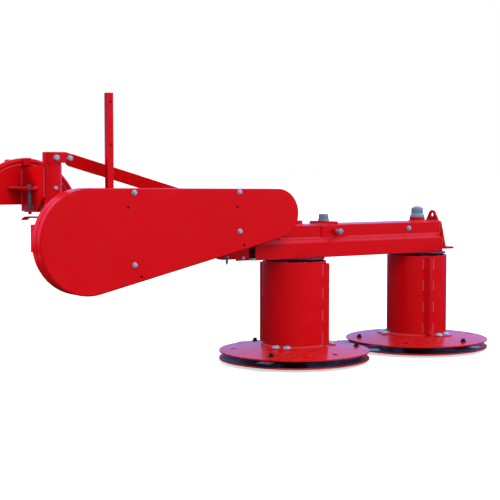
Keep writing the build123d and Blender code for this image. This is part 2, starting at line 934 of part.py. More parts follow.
# Input shaft: plain journal in the housing, splined end with its locking groove
input_boss_end_y = arm_rear_y + input_boss_length
spline_end_y = input_boss_end_y + spline_length
with BuildPart() as input_shaft:
    with BuildSketch(upright(y=guard_front_y + 2 * run)):
        with Locations((guard_big_x, guard_big_z)):
            Circle(input_major_radius)
    extrude(amount=guard_front_y + 2 * run - input_boss_end_y)
    with BuildSketch(upright(y=input_boss_end_y)):
        with Locations((guard_big_x, guard_big_z)):
            Circle(input_minor_radius)
            with PolarLocations(input_major_radius / 2, spline_count):
                Rectangle(input_major_radius, spline_width)
    extrude(amount=-spline_length)
    with BuildSketch(upright(y=spline_end_y - lock_groove_from_end)):
        with Locations((guard_big_x, guard_big_z)):
            Circle(2 * input_major_radius)
            Circle(input_minor_radius, mode=Mode.SUBTRACT)
    extrude(amount=-lock_groove_width, mode=Mode.SUBTRACT)
save(input_shaft, "input_shaft")

# Parking stand: square socket on the arm's rear face and the leg that slides in it
stand_y = (guard_front_y + arm_rear_y) / 2
socket_bottom_z = arm_top_z - stand_socket_height + stand_size / 2
with BuildPart() as stand_socket:
    with BuildSketch(Plane.XY.offset(socket_bottom_z)):
        with Locations((stand_x, stand_y)):
            Rectangle(guard_gap, guard_gap)
            Rectangle(stand_size + 2 * stand_play, stand_size + 2 * stand_play, mode=Mode.SUBTRACT)
    extrude(amount=stand_socket_height)
save(stand_socket, "stand_socket")

with BuildPart() as stand_leg:
    with BuildSketch(Plane.XY.offset(stand_foot_z)):
        with Locations((stand_x, stand_y)):
            Rectangle(stand_size, stand_size)
    extrude(amount=stand_top_z - stand_foot_z)
    with Locations((stand_x, stand_y, stand_foot_z)):
        Box(
            stand_foot_length,
            stand_size,
            stand_foot_thickness,
            align=(Align.CENTER, Align.CENTER, Align.MIN),
        )
    with BuildSketch(upright(y=stand_y)):
        for drop in stand_hole_drops:
            with Locations((stand_x, stand_top_z - drop)):
                Circle(stand_hole_radius)
    extrude(amount=stand_size, both=True, mode=Mode.SUBTRACT)
save(stand_leg, "stand_leg")

# Hinge post with the collar that carries the sleeve
with BuildPart() as post:
    with BuildSketch(Plane.XY.offset(post_foot_z - post_collar_height)):
        with Locations((post_x, post_y)):
            Circle(post_radius)
    extrude(amount=post_top_z - post_foot_z + post_collar_height)
    with BuildSketch(Plane.XY.offset(post_foot_z - post_collar_height)):
        with Locations((post_x, post_y)):
            Circle(post_collar_radius)
    extrude(amount=post_collar_height - run)
save(post, "hinge_post")

# Headstock web: plate under the bent bar of the arch, cut off straight below
bar_line_radius = arch_radius - arch_bar_radius
with BuildPart() as web:
    with BuildSketch(upright(y=web_front_y)):
        with Locations((arch_x, arch_centre_z)):
            Circle(bar_line_radius - arch_bar_radius - seat)
        with Locations((arch_x, arch_web_bottom_z)):
            Rectangle(
                2 * arch_radius,
                arch_radius,
                align=(Align.CENTER, Align.MIN),
                mode=Mode.INTERSECT,
            )
    extrude(amount=arch_web_thickness)
save(web, "arch_web")

# Round bar bent along the arch's edge
bar_start = degrees(atan2(arch_web_bottom_z - arch_centre_z, bar_line_radius))
with BuildPart() as arch_bar:
    with BuildLine(upright(y=arch_y)) as bar_path:
        CenterArc((arch_x, arch_centre_z), bar_line_radius, bar_start, 180 - 2 * bar_start)
    with BuildSketch(Plane(bar_path.line @ 0, z_dir=bar_path.line % 0)):
        Circle(arch_bar_radius)
    sweep()
save(arch_bar, "arch_bar")

# Legs from the web down to the lower links, each with its link pin
# columns: name, side of the arch
for side, turn in (("left", -1), ("right", 1)):
    foot_x = arch_x + turn * leg_foot_offset
    with BuildPart() as leg:
        with BuildSketch(upright(y=web_front_y + leg_thickness)):
            with Locations((arch_x + turn * leg_top_offset, leg_top_z)):
                Circle(leg_width / 2)
            with Locations((foot_x - turn * leg_width / 4, lower_link_z)):
                Rectangle(leg_width / 2, leg_width)
            make_hull()
        extrude(amount=leg_thickness)
    save(leg, f"hitch_leg_{side}")

    pin_y = web_front_y + leg_thickness / 2
    with BuildPart() as link_pin:
        with BuildSketch(sideways(foot_x)):
            with Locations((pin_y, lower_link_z)):
                Circle(link_flange_radius)
        extrude(amount=turn * link_flange_thickness)
        with BuildSketch(sideways(foot_x)):
            with Locations((pin_y, lower_link_z)):
                Circle(link_pin_radius)
        extrude(amount=turn * (link_flange_thickness + link_pin_length))
        linch_x = foot_x + turn * (link_flange_thickness + link_pin_length - 2 * link_pin_radius)
        with Locations((linch_x, pin_y, lower_link_z)):
            Cylinder(linch_hole_radius, 4 * link_pin_radius, mode=Mode.SUBTRACT)
    save(link_pin, f"lower_link_pin_{side}")

# Two ears for the top link on the front of the web
with BuildPart() as top_ears:
    for turn in (-1, 1):
        with BuildSketch(sideways(arch_x + turn * ear_gap / 2)):
            with Locations((web_front_y + ear_reach, top_link_z)):
                Circle(ear_eye_radius)
            with Locations((web_front_y, ear_foot_low_z)):
                Rectangle(
                    ear_foot_depth,
                    ear_foot_high_z - ear_foot_low_z,
                    align=(Align.MIN, Align.MIN),
                )
            make_hull()
            with Locations((web_front_y + ear_reach, top_link_z)):
                Circle(top_link_hole_radius, mode=Mode.SUBTRACT)
        extrude(amount=turn * ear_plate_thickness)
save(top_ears, "top_link_ears")

# Small lug behind the arch bar's highest point
with BuildPart() as apex_lug:
    with Locations((arch_x, arch_y - arch_bar_radius - seat, arch_centre_z + arch_radius + seat)):
        Box(apex_lug_width, apex_lug_depth, apex_lug_height, align=(Align.CENTER, Align.MAX, Align.MAX))
save(apex_lug, "apex_lug")

# Box bracket between the post and the web, with the shelf and the gusset for the lock screw
left_face_x = post_x - bracket_left_half_width
right_face_x = post_x + bracket_right_half_width
# columns: outer face of the side plate, its thickness toward the post
bracket_sides = [(left_face_x, bracket_left_wall), (right_face_x, -bracket_right_wall)]
shelf_start_y = post_y + bracket_plate_start
tongue_end_y = web_rear_y - bracket_tongue_gap
gusset_rear_y = post_y + gusset_start
with BuildPart() as post_bracket:
    for face_x, inward in bracket_sides:
        with BuildSketch(sideways(face_x)):
            with BuildLine():
                Polyline(
                    (post_y, bracket_weld_low_z),
                    (post_y + bracket_taper, bracket_low_z),
                    (web_rear_y, bracket_low_z),
                    (web_rear_y, bracket_top_z - bracket_top_fall),
                    (post_y, bracket_top_z),
                    close=True,
                )
            make_face()
        extrude(amount=inward)
    with BuildSketch(Plane.XY.offset(bracket_low_z)):
        with BuildLine():
            Polyline(
                (right_face_x, shelf_start_y),
                (right_face_x, web_rear_y),
                (left_face_x, web_rear_y),
                (left_face_x, tongue_end_y),
                (left_face_x - bracket_tongue, tongue_end_y - bracket_tongue),
                (left_face_x - bracket_tongue, shelf_start_y),
                close=True,
            )
        make_face()
    extrude(amount=bracket_plate_thickness)
    with BuildSketch(Plane.XY.offset(gusset_z)):
        with BuildLine():
            Polyline(
                (left_face_x + bracket_left_wall / 2, gusset_rear_y),
                (left_face_x + bracket_left_wall / 2, web_rear_y),
                (left_face_x - gusset_reach, web_rear_y),
                (left_face_x - bracket_left_wall / 2, gusset_rear_y),
                close=True,
            )
        make_face()
    extrude(amount=gusset_thickness)
    with Locations((screw_x, screw_y, gusset_z)):
        Cylinder(screw_radius + seat, 2 * (gusset_z - bracket_low_z), mode=Mode.SUBTRACT)
    with Locations((post_x, post_y, bracket_low_z)):
        Cylinder(post_radius + seat, 2 * post_top_z, mode=Mode.SUBTRACT)
save(post_bracket, "post_bracket")

# Threaded lock screw through gusset and shelf, turned up clear of the latch plate
with BuildPart() as lock_screw:
    with BuildSketch(Plane.XY.offset(screw_foot_z)):
        with Locations((screw_x, screw_y)):
            Circle(screw_radius)
    extrude(amount=screw_top_z - screw_foot_z)
save(lock_screw, "lock_screw")
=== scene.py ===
import json
import math
import bpy
from mathutils import Matrix, Vector


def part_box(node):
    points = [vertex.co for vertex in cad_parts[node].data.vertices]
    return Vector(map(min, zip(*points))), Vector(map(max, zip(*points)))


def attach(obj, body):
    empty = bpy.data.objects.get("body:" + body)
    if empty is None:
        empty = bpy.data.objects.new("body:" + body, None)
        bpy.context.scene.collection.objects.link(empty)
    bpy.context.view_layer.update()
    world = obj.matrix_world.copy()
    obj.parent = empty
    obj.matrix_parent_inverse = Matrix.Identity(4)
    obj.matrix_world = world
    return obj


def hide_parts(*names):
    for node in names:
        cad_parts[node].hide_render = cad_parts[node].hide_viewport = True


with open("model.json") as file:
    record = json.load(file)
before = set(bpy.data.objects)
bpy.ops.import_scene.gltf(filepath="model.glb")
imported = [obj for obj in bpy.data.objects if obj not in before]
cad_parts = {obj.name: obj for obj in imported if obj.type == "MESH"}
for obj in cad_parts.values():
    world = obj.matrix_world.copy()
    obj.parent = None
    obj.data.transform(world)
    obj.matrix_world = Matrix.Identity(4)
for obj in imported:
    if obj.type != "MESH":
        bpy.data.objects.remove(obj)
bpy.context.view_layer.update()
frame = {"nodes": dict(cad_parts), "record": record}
nodes = frame["nodes"]
print("frame loaded:", len(nodes), "nodes")

# camera, floor and light

photoCamera = {
    "place": (-2.4676, -3.4058, 0.6573),
    "turn": -33.84,        # degrees round Z, 0 looks along +Y
    "tilt": -3.70,         # below the horizon
    "lens": 87.92,
    "sensor": 36,
    "reach": 400,          # far enough for the whole floor
}

bpy.ops.object.select_all(action="DESELECT")
bpy.ops.object.camera_add(
    location=photoCamera["place"],
    rotation=(math.radians(90 + photoCamera["tilt"]), 0, math.radians(photoCamera["turn"])),
)
camera = bpy.context.object
camera.name = "photoCamera"
camera.data.sensor_fit = "HORIZONTAL"
camera.data.sensor_width = photoCamera["sensor"]
camera.data.lens = photoCamera["lens"]
camera.data.clip_end = photoCamera["reach"]
bpy.context.scene.camera = camera

studio = {
    "floorSize": 300,
    "floorTones": ((0.93, 0.93, 0.93), (0.89, 0.89, 0.90)),
    "floorCloud": 0.8,
    "floorBounce": (0.36, 0.36, 0.36),     # it throws back less light than it shows
    "floorGlow": 0.62,                     # lifts the floor to the backdrop's white
    "floorRough": 0.9,
    "floorShine": 0.1,
    "backdrop": (1.0, 1.0, 1.0),
    "brightSide": (0.83, -0.557, 0.0),     # the studio's brighter wall lies this way
    "level": 1.02,
    "lean": 0.52,                          # how much brighter that wall is
    "mirrorSide": (0.80, 0.60, 0.0),       # gloss mirrors more from beyond and right of the object
    "mirrorLeast": 0.08,
    "mirrorStart": -0.6,
    "skyHigh": (0.66, 0.84, 1.90),         # what gloss mirrors, from above down to the ground
    "skyLow": (0.36, 0.48, 1.25),
    "ground": (0.015, 0.013, 0.016),
    "skyHighAt": 0.80,                     # 0 is straight down, 0.5 the horizon, 1 straight up
    "skyLowAt": 0.515,
    "groundAt": 0.45,
    "keyLamp": {
        "place": (-0.7, -4.9, 4.0), "aim": (-0.2, 0.0, 0.35), "size": 3.0, "power": 200, "spread": 180,
        "tint": (1.0, 0.98, 0.95),
    },
    "hitchLamp": {
        "place": (-1.9, 1.0, 1.0), "aim": (-1.0, -0.04, 0.48), "size": 0.4, "power": 1.5, "spread": 32,
        "tint": (1.0, 0.97, 0.98),
    },
}


def addSoftbox(name, spec):
    bpy.ops.object.light_add(type="AREA", location=spec["place"])
    lamp = bpy.context.object
    lamp.name = name
    lamp.data.shape = "SQUARE"
    lamp.data.size = spec["size"]
    lamp.data.spread = math.radians(spec["spread"])
    lamp.data.energy = spec["power"]
    lamp.data.color = spec["tint"]
    lamp.visible_glossy = False
    beam = Vector(spec["aim"]) - Vector(spec["place"])
    lamp.rotation_euler = beam.to_track_quat("-Z", "Y").to_euler()


def lightWorld(spec):
    # white to the camera, a soft tent for matt light, a pale sky for gloss
    world = bpy.data.worlds.new("paleStudio")
    bpy.context.scene.world = world
    world.use_nodes = True
    world.cycles.sampling_method = "NONE"      # keeps gloss from picking up the tent
    tree = world.node_tree
    tree.nodes.clear()
    make, link = tree.nodes.new, tree.links.new
    out = make("ShaderNodeOutputWorld")
    backdrop, tent, sky = (make("ShaderNodeBackground") for layer in range(3))
    glossOrTent, cameraOrLight = make("ShaderNodeMixShader"), make("ShaderNodeMixShader")
    path = make("ShaderNodeLightPath")
    coord = make("ShaderNodeTexCoord")
    split = make("ShaderNodeSeparateXYZ")
    lift, wall, mirror = (make("ShaderNodeMapRange") for part in range(3))
    toward, mirrored = make("ShaderNodeVectorMath"), make("ShaderNodeVectorMath")
    ramp = make("ShaderNodeValToRGB")
    backdrop.inputs["Color"].default_value = (*spec["backdrop"], 1)
    tent.inputs["Color"].default_value = (1, 1, 1, 1)
    toward.operation = mirrored.operation = "DOT_PRODUCT"
    toward.inputs[1].default_value = spec["brightSide"]
    mirrored.inputs[1].default_value = spec["mirrorSide"]
    wall.inputs["From Min"].default_value = -1
    wall.inputs["To Min"].default_value = spec["level"] - spec["lean"]
    wall.inputs["To Max"].default_value = spec["level"] + spec["lean"]
    mirror.inputs["From Min"].default_value = spec["mirrorStart"]
    mirror.inputs["To Min"].default_value = spec["mirrorLeast"]
    lift.inputs["From Min"].default_value = -1
    stops = ramp.color_ramp.elements
    stops[0].position, stops[0].color = spec["groundAt"], (*spec["ground"], 1)
    stops[1].position, stops[1].color = spec["skyHighAt"], (*spec["skyHigh"], 1)
    stops.new(spec["skyLowAt"]).color = (*spec["skyLow"], 1)
    link(coord.outputs["Generated"], split.inputs[0])
    link(split.outputs["Z"], lift.inputs["Value"])
    link(lift.outputs["Result"], ramp.inputs["Fac"])
    link(ramp.outputs["Color"], sky.inputs["Color"])
    link(coord.outputs["Generated"], toward.inputs[0])
    link(toward.outputs["Value"], wall.inputs["Value"])
    link(wall.outputs["Result"], tent.inputs["Strength"])
    link(coord.outputs["Generated"], mirrored.inputs[0])
    link(mirrored.outputs["Value"], mirror.inputs["Value"])
    link(mirror.outputs["Result"], sky.inputs["Strength"])
    link(path.outputs["Is Glossy Ray"], glossOrTent.inputs["Fac"])
    link(tent.outputs[0], glossOrTent.inputs[1])
    link(sky.outputs[0], glossOrTent.inputs[2])
    link(path.outputs["Is Camera Ray"], cameraOrLight.inputs["Fac"])
    link(glossOrTent.outputs[0], cameraOrLight.inputs[1])
    link(backdrop.outputs[0], cameraOrLight.inputs[2])
    link(cameraOrLight.outputs[0], out.inputs["Surface"])


addSoftbox("keySoftbox", studio["keyLamp"])
addSoftbox("hitchSoftbox", studio["hitchLamp"])
lightWorld(studio)
bpy.context.scene.view_settings.view_transform = "Standard"

bpy.ops.object.select_all(action="DESELECT")
bpy.ops.mesh.primitive_plane_add(size=studio["floorSize"], location=(0, 0, 0))
floor = bpy.context.object
floor.name = "paleFloor"
floor.visible_glossy = False
print("camera, floor and light set")

# shader groups shared by the finishes


def newGroup(name, inputs, outputs):
    group = bpy.data.node_groups.new(name, "ShaderNodeTree")
    for label, kind, value in inputs:
        socket = group.interface.new_socket(name=label, in_out="INPUT", socket_type=kind)
        socket.default_value = value
    for label, kind in outputs:
        group.interface.new_socket(name=label, in_out="OUTPUT", socket_type=kind)
    return group, group.nodes.new("NodeGroupInput"), group.nodes.new("NodeGroupOutput")


number, colour, vector = "NodeSocketFloat", "NodeSocketColor", "NodeSocketVector"


def addMath(tree, operation, first, second=None):
    node = tree.nodes.new("ShaderNodeMath")
    node.operation = operation
    for place, value in enumerate((first, second)):
        if value is None:
            continue
        if isinstance(value, (int, float)):
            node.inputs[place].default_value = value
        else:
            tree.links.new(value, node.inputs[place])
    return node.outputs[0]


def addNoise(tree, coord, scale, detail, rough=0.55):
    node = tree.nodes.new("ShaderNodeTexNoise")
    node.inputs["Detail"].default_value = detail
    node.inputs["Roughness"].default_value = rough
    if isinstance(scale, (int, float)):
        node.inputs["Scale"].default_value = scale
    else:
        tree.links.new(scale, node.inputs["Scale"])
    tree.links.new(coord, node.inputs["Vector"])
    return node


def addRange(tree, value, low, high, outLow=0.0, outHigh=1.0):
    node = tree.nodes.new("ShaderNodeMapRange")
    for label, limit in (("From Min", low), ("From Max", high), ("To Min", outLow), ("To Max", outHigh)):
        node.inputs[label].default_value = limit
    tree.links.new(value, node.inputs["Value"])
    return node.outputs["Result"]


def addMix(tree, factor, first, second):
    node = tree.nodes.new("ShaderNodeMix")
    node.data_type = "RGBA"
    for socket, value in ((node.inputs[0], factor), (node.inputs[6], first), (node.inputs[7], second)):
        if isinstance(value, tuple):
            socket.default_value = (*value, 1)
        elif isinstance(value, (int, float)):
            socket.default_value = value
        else:
            tree.links.new(value, socket)
    return node.outputs[2]


sprayCoat = {"slow": 4.5, "cloud": 26.0, "slowShare": 0.65, "cloudShare": 0.35,
             "drift": (0.38, 0.66), "sheen": (0.3, 0.7), "depth": 0.0006}


def buildSprayGroup(spec):
    # sprayed enamel: slow drift of tone, fine orange peel
    group, ins, outs = newGroup(
        "sprayCoat",
        [("Colour", colour, (0.5, 0.5, 0.5, 1)), ("Deep", colour, (0.3, 0.3, 0.3, 1)),
         ("Drift", number, 0.35), ("Peel Scale", number, 420.0)],
        [("Colour", colour), ("Height", number), ("Sheen", number)],
    )
    coord = group.nodes.new("ShaderNodeTexCoord").outputs["Object"]
    slow = addNoise(group, coord, spec["slow"], 2.0)
    cloudy = addNoise(group, coord, spec["cloud"], 4.0)
    peel = addNoise(group, coord, ins.outputs["Peel Scale"], 1.5)
    both = addMath(group, "ADD", addMath(group, "MULTIPLY", slow.outputs["Fac"], spec["slowShare"]),
                   addMath(group, "MULTIPLY", cloudy.outputs["Fac"], spec["cloudShare"]))
    share = addMath(group, "MULTIPLY", addRange(group, both, *spec["drift"]), ins.outputs["Drift"])
    group.links.new(addMix(group, share, ins.outputs["Colour"], ins.outputs["Deep"]), outs.inputs["Colour"])
    group.links.new(peel.outputs["Fac"], outs.inputs["Height"])
    group.links.new(addRange(group, cloudy.outputs["Fac"], *spec["sheen"]), outs.inputs["Sheen"])
    return group


edgeRubAndGlint = {"samples": 6, "arris": (0.985, 0.86), "grit": (0.42, 0.62),
           "paintBreakup": 70.0, "metalBreakup": 120.0}


def buildEdgeGroup(spec):
    # rounded arrises, and where they have rubbed; on paint the same mask also lays a painted edge highlight
    group, ins, outs = newGroup(
        "edgeRubAndGlint",
        [("Radius", number, 0.002), ("Breakup", number, 60.0)],
        [("RubAndGlint", number), ("Normal", vector)],
    )
    coord = group.nodes.new("ShaderNodeTexCoord").outputs["Object"]
    bevel = group.nodes.new("ShaderNodeBevel")
    bevel.samples = spec["samples"]
    group.links.new(ins.outputs["Radius"], bevel.inputs["Radius"])
    geometry = group.nodes.new("ShaderNodeNewGeometry")
    dot = group.nodes.new("ShaderNodeVectorMath")
    dot.operation = "DOT_PRODUCT"
    group.links.new(bevel.outputs["Normal"], dot.inputs[0])
    group.links.new(geometry.outputs["Normal"], dot.inputs[1])
    arris = addRange(group, dot.outputs["Value"], *spec["arris"])
    grit = addNoise(group, coord, ins.outputs["Breakup"], 5.0)
    broken = addMath(group, "MULTIPLY", arris, addRange(group, grit.outputs["Fac"], *spec["grit"]))
    group.links.new(broken, outs.inputs["RubAndGlint"])
    group.links.new(bevel.outputs["Normal"], outs.inputs["Normal"])
    return group


fieldDust = {"colour": (0.34, 0.27, 0.20), "level": 0.10, "rough": 0.4,
             "facing": (0.55, 0.95), "speck": 38.0, "cover": (0.36, 0.68), "most": 0.85}


def buildDustGroup(spec):
    # dry field dust on upward faces and low down
    group, ins, outs = newGroup(
        "fieldDust",
        [("Top", number, 0.2), ("Low", number, 0.3), ("Level", number, 0.12)],
        [("Dust", number)],
    )
    coord = group.nodes.new("ShaderNodeTexCoord").outputs["Object"]
    geometry = group.nodes.new("ShaderNodeNewGeometry")
    facing = group.nodes.new("ShaderNodeSeparateXYZ")
    group.links.new(geometry.outputs["Normal"], facing.inputs[0])
    place = group.nodes.new("ShaderNodeSeparateXYZ")
    group.links.new(coord, place.inputs[0])
    level = addRange(group, facing.outputs["Z"], *spec["facing"])
    top = addMath(group, "MULTIPLY", level, ins.outputs["Top"])
    height = addMath(group, "DIVIDE", place.outputs["Z"], ins.outputs["Level"])
    depth = addMath(group, "SUBTRACT", 1.0, height)
    low = addMath(group, "MULTIPLY", addMath(group, "MAXIMUM", depth, 0.0), ins.outputs["Low"])
    speck = addNoise(group, coord, spec["speck"], 6.0, 0.65)
    cover = addMath(group, "MULTIPLY", addMath(group, "ADD", top, low),
                    addRange(group, speck.outputs["Fac"], *spec["cover"]))
    clamp = addMath(group, "MINIMUM", cover, spec["most"])
    group.links.new(clamp, outs.inputs["Dust"])
    return group


metalSkin = {"cloud": 32.0, "cloudRange": (0.35, 0.7), "cellShare": 0.45, "cloudShare": 0.55,
             "depth": 0.0004}


def buildMetalGroup(spec):
    # bare or plated metal: mottling, fine drawn lines
    group, ins, outs = newGroup(
        "metalSkin",
        [("Bright", colour, (0.6, 0.6, 0.6, 1)), ("Dull", colour, (0.4, 0.4, 0.4, 1)),
         ("Mottle Scale", number, 90.0), ("Line Scale", number, 500.0)],
        [("Colour", colour), ("Tarnish", number), ("Height", number)],
    )
    coord = group.nodes.new("ShaderNodeTexCoord").outputs["Object"]
    cell = group.nodes.new("ShaderNodeTexVoronoi")
    group.links.new(ins.outputs["Mottle Scale"], cell.inputs["Scale"])
    group.links.new(coord, cell.inputs["Vector"])
    tone = group.nodes.new("ShaderNodeSeparateColor")
    group.links.new(cell.outputs["Color"], tone.inputs[0])
    cloud = addNoise(group, coord, spec["cloud"], 5.0)
    lines = addNoise(group, coord, ins.outputs["Line Scale"], 2.0)
    clouded = addRange(group, cloud.outputs["Fac"], *spec["cloudRange"])
    share = addMath(group, "ADD", addMath(group, "MULTIPLY", tone.outputs[0], spec["cellShare"]),
                    addMath(group, "MULTIPLY", clouded, spec["cloudShare"]))
    group.links.new(addMix(group, share, ins.outputs["Bright"], ins.outputs["Dull"]), outs.inputs["Colour"])
    group.links.new(share, outs.inputs["Tarnish"])
    group.links.new(lines.outputs["Fac"], outs.inputs["Height"])
    return group


groups = {
    "spray": buildSprayGroup(sprayCoat),
    "edge": buildEdgeGroup(edgeRubAndGlint),
    "dust": buildDustGroup(fieldDust),
    "metal": buildMetalGroup(metalSkin),
}
print("shader groups built:", ", ".join(groups))

# finishes


def newFinish(name):
    material = bpy.data.materials.new(name)
    material.use_nodes = True
    tree = material.node_tree
    return material, tree, tree.nodes["Principled BSDF"]


def useGroup(tree, key, **values):
    node = tree.nodes.new("ShaderNodeGroup")
    node.node_tree = groups[key]
    for label, value in values.items():
        socket = node.inputs[label.replace("_", " ")]
        socket.default_value = (*value, 1) if isinstance(value, tuple) else value
    return node


def addBump(tree, shader, height, strength, distance, normal):
    bump = tree.nodes.new("ShaderNodeBump")
    bump.inputs["Strength"].default_value = strength
    bump.inputs["Distance"].default_value = distance
    tree.links.new(height, bump.inputs["Height"])
    tree.links.new(normal, bump.inputs["Normal"])
    tree.links.new(bump.outputs["Normal"], shader.inputs["Normal"])


def makePaint(name, spec):
    material, tree, shader = newFinish(name)
    spray = useGroup(tree, "spray", Colour=spec["colour"], Deep=spec["deep"], Drift=spec["drift"],
                     Peel_Scale=spec["peel"])
    edge = useGroup(tree, "edge", Radius=spec["round"], Breakup=edgeRubAndGlint["paintBreakup"])
    dust = useGroup(tree, "dust", Top=spec["dustTop"], Low=spec["dustLow"], Level=fieldDust["level"])
    # edges take the lighter pink: partly worn primer, partly painted highlight
    rubbedAndGlinting = addMix(tree, addMath(tree, "MULTIPLY", edge.outputs["RubAndGlint"], spec["rub"]),
                    spray.outputs["Colour"], spec["primerAndGlint"])
    dusty = addMix(tree, dust.outputs["Dust"], rubbedAndGlinting, fieldDust["colour"])
    tree.links.new(dusty, shader.inputs["Base Color"])
    gloss = addRange(tree, spray.outputs["Sheen"], 0, 1, *spec["rough"])
    dulled = addMath(tree, "MULTIPLY", dust.outputs["Dust"], fieldDust["rough"])
    matt = addMath(tree, "ADD", gloss, dulled)
    tree.links.new(matt, shader.inputs["Roughness"])
    shader.inputs["Specular IOR Level"].default_value = spec["shine"]
    addBump(tree, shader, spray.outputs["Height"], spec["bump"], sprayCoat["depth"], edge.outputs["Normal"])
    return material


def makeMetal(name, spec):
    material, tree, shader = newFinish(name)
    skin = useGroup(tree, "metal", Bright=spec["bright"], Dull=spec["dull"], Mottle_Scale=spec["mottle"],
                    Line_Scale=spec["lines"])
    edge = useGroup(tree, "edge", Radius=spec["round"], Breakup=edgeRubAndGlint["metalBreakup"])
    dust = useGroup(tree, "dust", Top=spec["dustTop"], Low=spec["dustLow"], Level=fieldDust["level"])
    worn = addMix(tree, addMath(tree, "MULTIPLY", edge.outputs["RubAndGlint"], spec["rub"]),
                  skin.outputs["Colour"], spec["bare"])
    dusty = addMix(tree, dust.outputs["Dust"], worn, fieldDust["colour"])
    tree.links.new(dusty, shader.inputs["Base Color"])
    shader.inputs["Metallic"].default_value = spec["metallic"]
    tree.links.new(addRange(tree, skin.outputs["Tarnish"], 0, 1, *spec["rough"]),
                   shader.inputs["Roughness"])
    addBump(tree, shader, skin.outputs["Height"], spec["bump"], metalSkin["depth"], edge.outputs["Normal"])
    return material


redEnamel = {
    # the lighter pink laid on edges is partly worn-through primer and partly a painted highlight of light on
    # the rounded edges
    "colour": (0.50, 0.0012, 0.0045), "deep": (0.44, 0.0009, 0.0034), "primerAndGlint": (0.62, 0.07, 0.09),
    "drift": 0.5, "peel": 380.0, "round": 0.0015, "rub": 0.5, "rough": (0.16, 0.26), "shine": 0.22,
    "bump": 0.10, "dustTop": 0.05, "dustLow": 0.05,
}
foldedRed = {**redEnamel, "round": 0.0045, "rub": 0.2}
# the brace bar's darker, duller red is painted shade, for the shade the bar lies in
mattShadedRed = {**redEnamel, "colour": (0.41, 0.0010, 0.0016), "deep": (0.36, 0.0008, 0.0012), "shine": 0.04}
# the weld beads' lighter, pinker red is a painted highlight for the glints the beads catch
weldGlintRed = {**redEnamel, "colour": (0.62, 0.040, 0.058), "deep": (0.50, 0.018, 0.028), "shine": 0.6}
# the blue in the zinc's bright and dull tones is a painted reflection of the sky
zincSkyTint = {
    "bright": (0.54, 0.78, 0.98), "dull": (0.34, 0.53, 0.74), "bare": (0.80, 0.90, 0.96), "mottle": 160.0,
    "lines": 900.0, "round": 0.0006, "rub": 0.5, "rough": (0.14, 0.28), "metallic": 0.58, "bump": 0.12,
    "dustTop": 0.05, "dustLow": 0.05,
}
# the nuts' darker copy of the zinc is painted shade for their shaded faces, with the same painted sky blue
nutZincShaded = {**zincSkyTint, "bright": (0.42, 0.63, 0.80), "dull": (0.22, 0.36, 0.50), "metallic": 0.62}
zincThread = {**zincSkyTint, "bright": (0.34, 0.42, 0.50), "dull": (0.16, 0.21, 0.27), "metallic": 0.75}
# the axle steel's dark tone is partly its own and partly painted shade for the shade under the beam
axleSteelShaded = {
    "bright": (0.56, 0.60, 0.52), "dull": (0.20, 0.22, 0.20), "bare": (0.80, 0.82, 0.78), "mottle": 90.0,
    "lines": 700.0, "round": 0.001, "rub": 0.5, "rough": (0.16, 0.34), "metallic": 1.0, "bump": 0.15,
    "dustTop": 0.06, "dustLow": 0.05,
}
shaftSteel = {
    "bright": (0.50, 0.48, 0.45), "dull": (0.22, 0.18, 0.14), "bare": (0.66, 0.65, 0.63), "mottle": 70.0,
    "lines": 700.0, "round": 0.001, "rub": 0.6, "rough": (0.28, 0.55), "metallic": 0.95, "bump": 0.2,
    "dustTop": 0.08, "dustLow": 0.1,
}
knifeSteel = {
    "bright": (0.33, 0.37, 0.44), "dull": (0.13, 0.15, 0.19), "bare": (0.70, 0.72, 0.74), "mottle": 120.0,
    "lines": 800.0, "round": 0.0012, "rub": 0.9, "rough": (0.30, 0.55), "metallic": 0.9, "bump": 0.25,
    "dustTop": 0.10, "dustLow": 0.1,
}
blackOxide = {
    "bright": (0.030, 0.030, 0.032), "dull": (0.012, 0.012, 0.013), "bare": (0.25, 0.25, 0.26),
    "mottle": 140.0, "lines": 900.0, "round": 0.0008, "rub": 0.4, "rough": (0.35, 0.55), "metallic": 0.6,
    "bump": 0.2, "dustTop": 0.05, "dustLow": 0.05,
}
holderSteel = {
    "bright": (0.10, 0.11, 0.13), "dull": (0.04, 0.045, 0.055), "bare": (0.45, 0.46, 0.48), "mottle": 80.0,
    "lines": 500.0, "round": 0.0012, "rub": 0.6, "rough": (0.40, 0.65), "metallic": 0.7, "bump": 0.25,
    "dustTop": 0.12, "dustLow": 0.1,
}

finishes = {
    "redPaint": makePaint("redEnamel", redEnamel),
    "foldedRed": makePaint("foldedRed", foldedRed),
    "mattShadedRed": makePaint("mattShadedRed", mattShadedRed),
    "weldGlintRed": makePaint("weldGlintRed", weldGlintRed),
    "zinc": makeMetal("zincSkyTint", zincSkyTint),
    "nut": makeMetal("nutZincShaded", nutZincShaded),
    "thread": makeMetal("zincThread", zincThread),
    "axle": makeMetal("axleSteelShaded", axleSteelShaded),
    "shaft": makeMetal("shaftSteel", shaftSteel),
    "knife": makeMetal("knifeSteel", knifeSteel),
    "black": makeMetal("blackOxide", blackOxide),
    "holder": makeMetal("holderSteel", holderSteel),
}

dishEnamel = {
    "centreX": {"inner": 0.0, "outer": 0.56}, "rimInner": 0.246, "trayFacing": 0.1,
    # the tray's dark blue-grey is painted shade and painted sky reflection
    "trayShadeAndSkyBlue": (0.10, 0.13, 0.19), "trayShadeAndSkyBlueDeep": (0.06, 0.075, 0.11), "trayDrift": 0.8, "trayPeel": 300.0,
    "round": 0.002, "rub": 0.5, "rough": (0.3, 0.5), "shine": 0.25, "bump": 0.1,
    "dustTop": 0.10, "dustLow": 0.10, "dustLevel": 0.03,
}


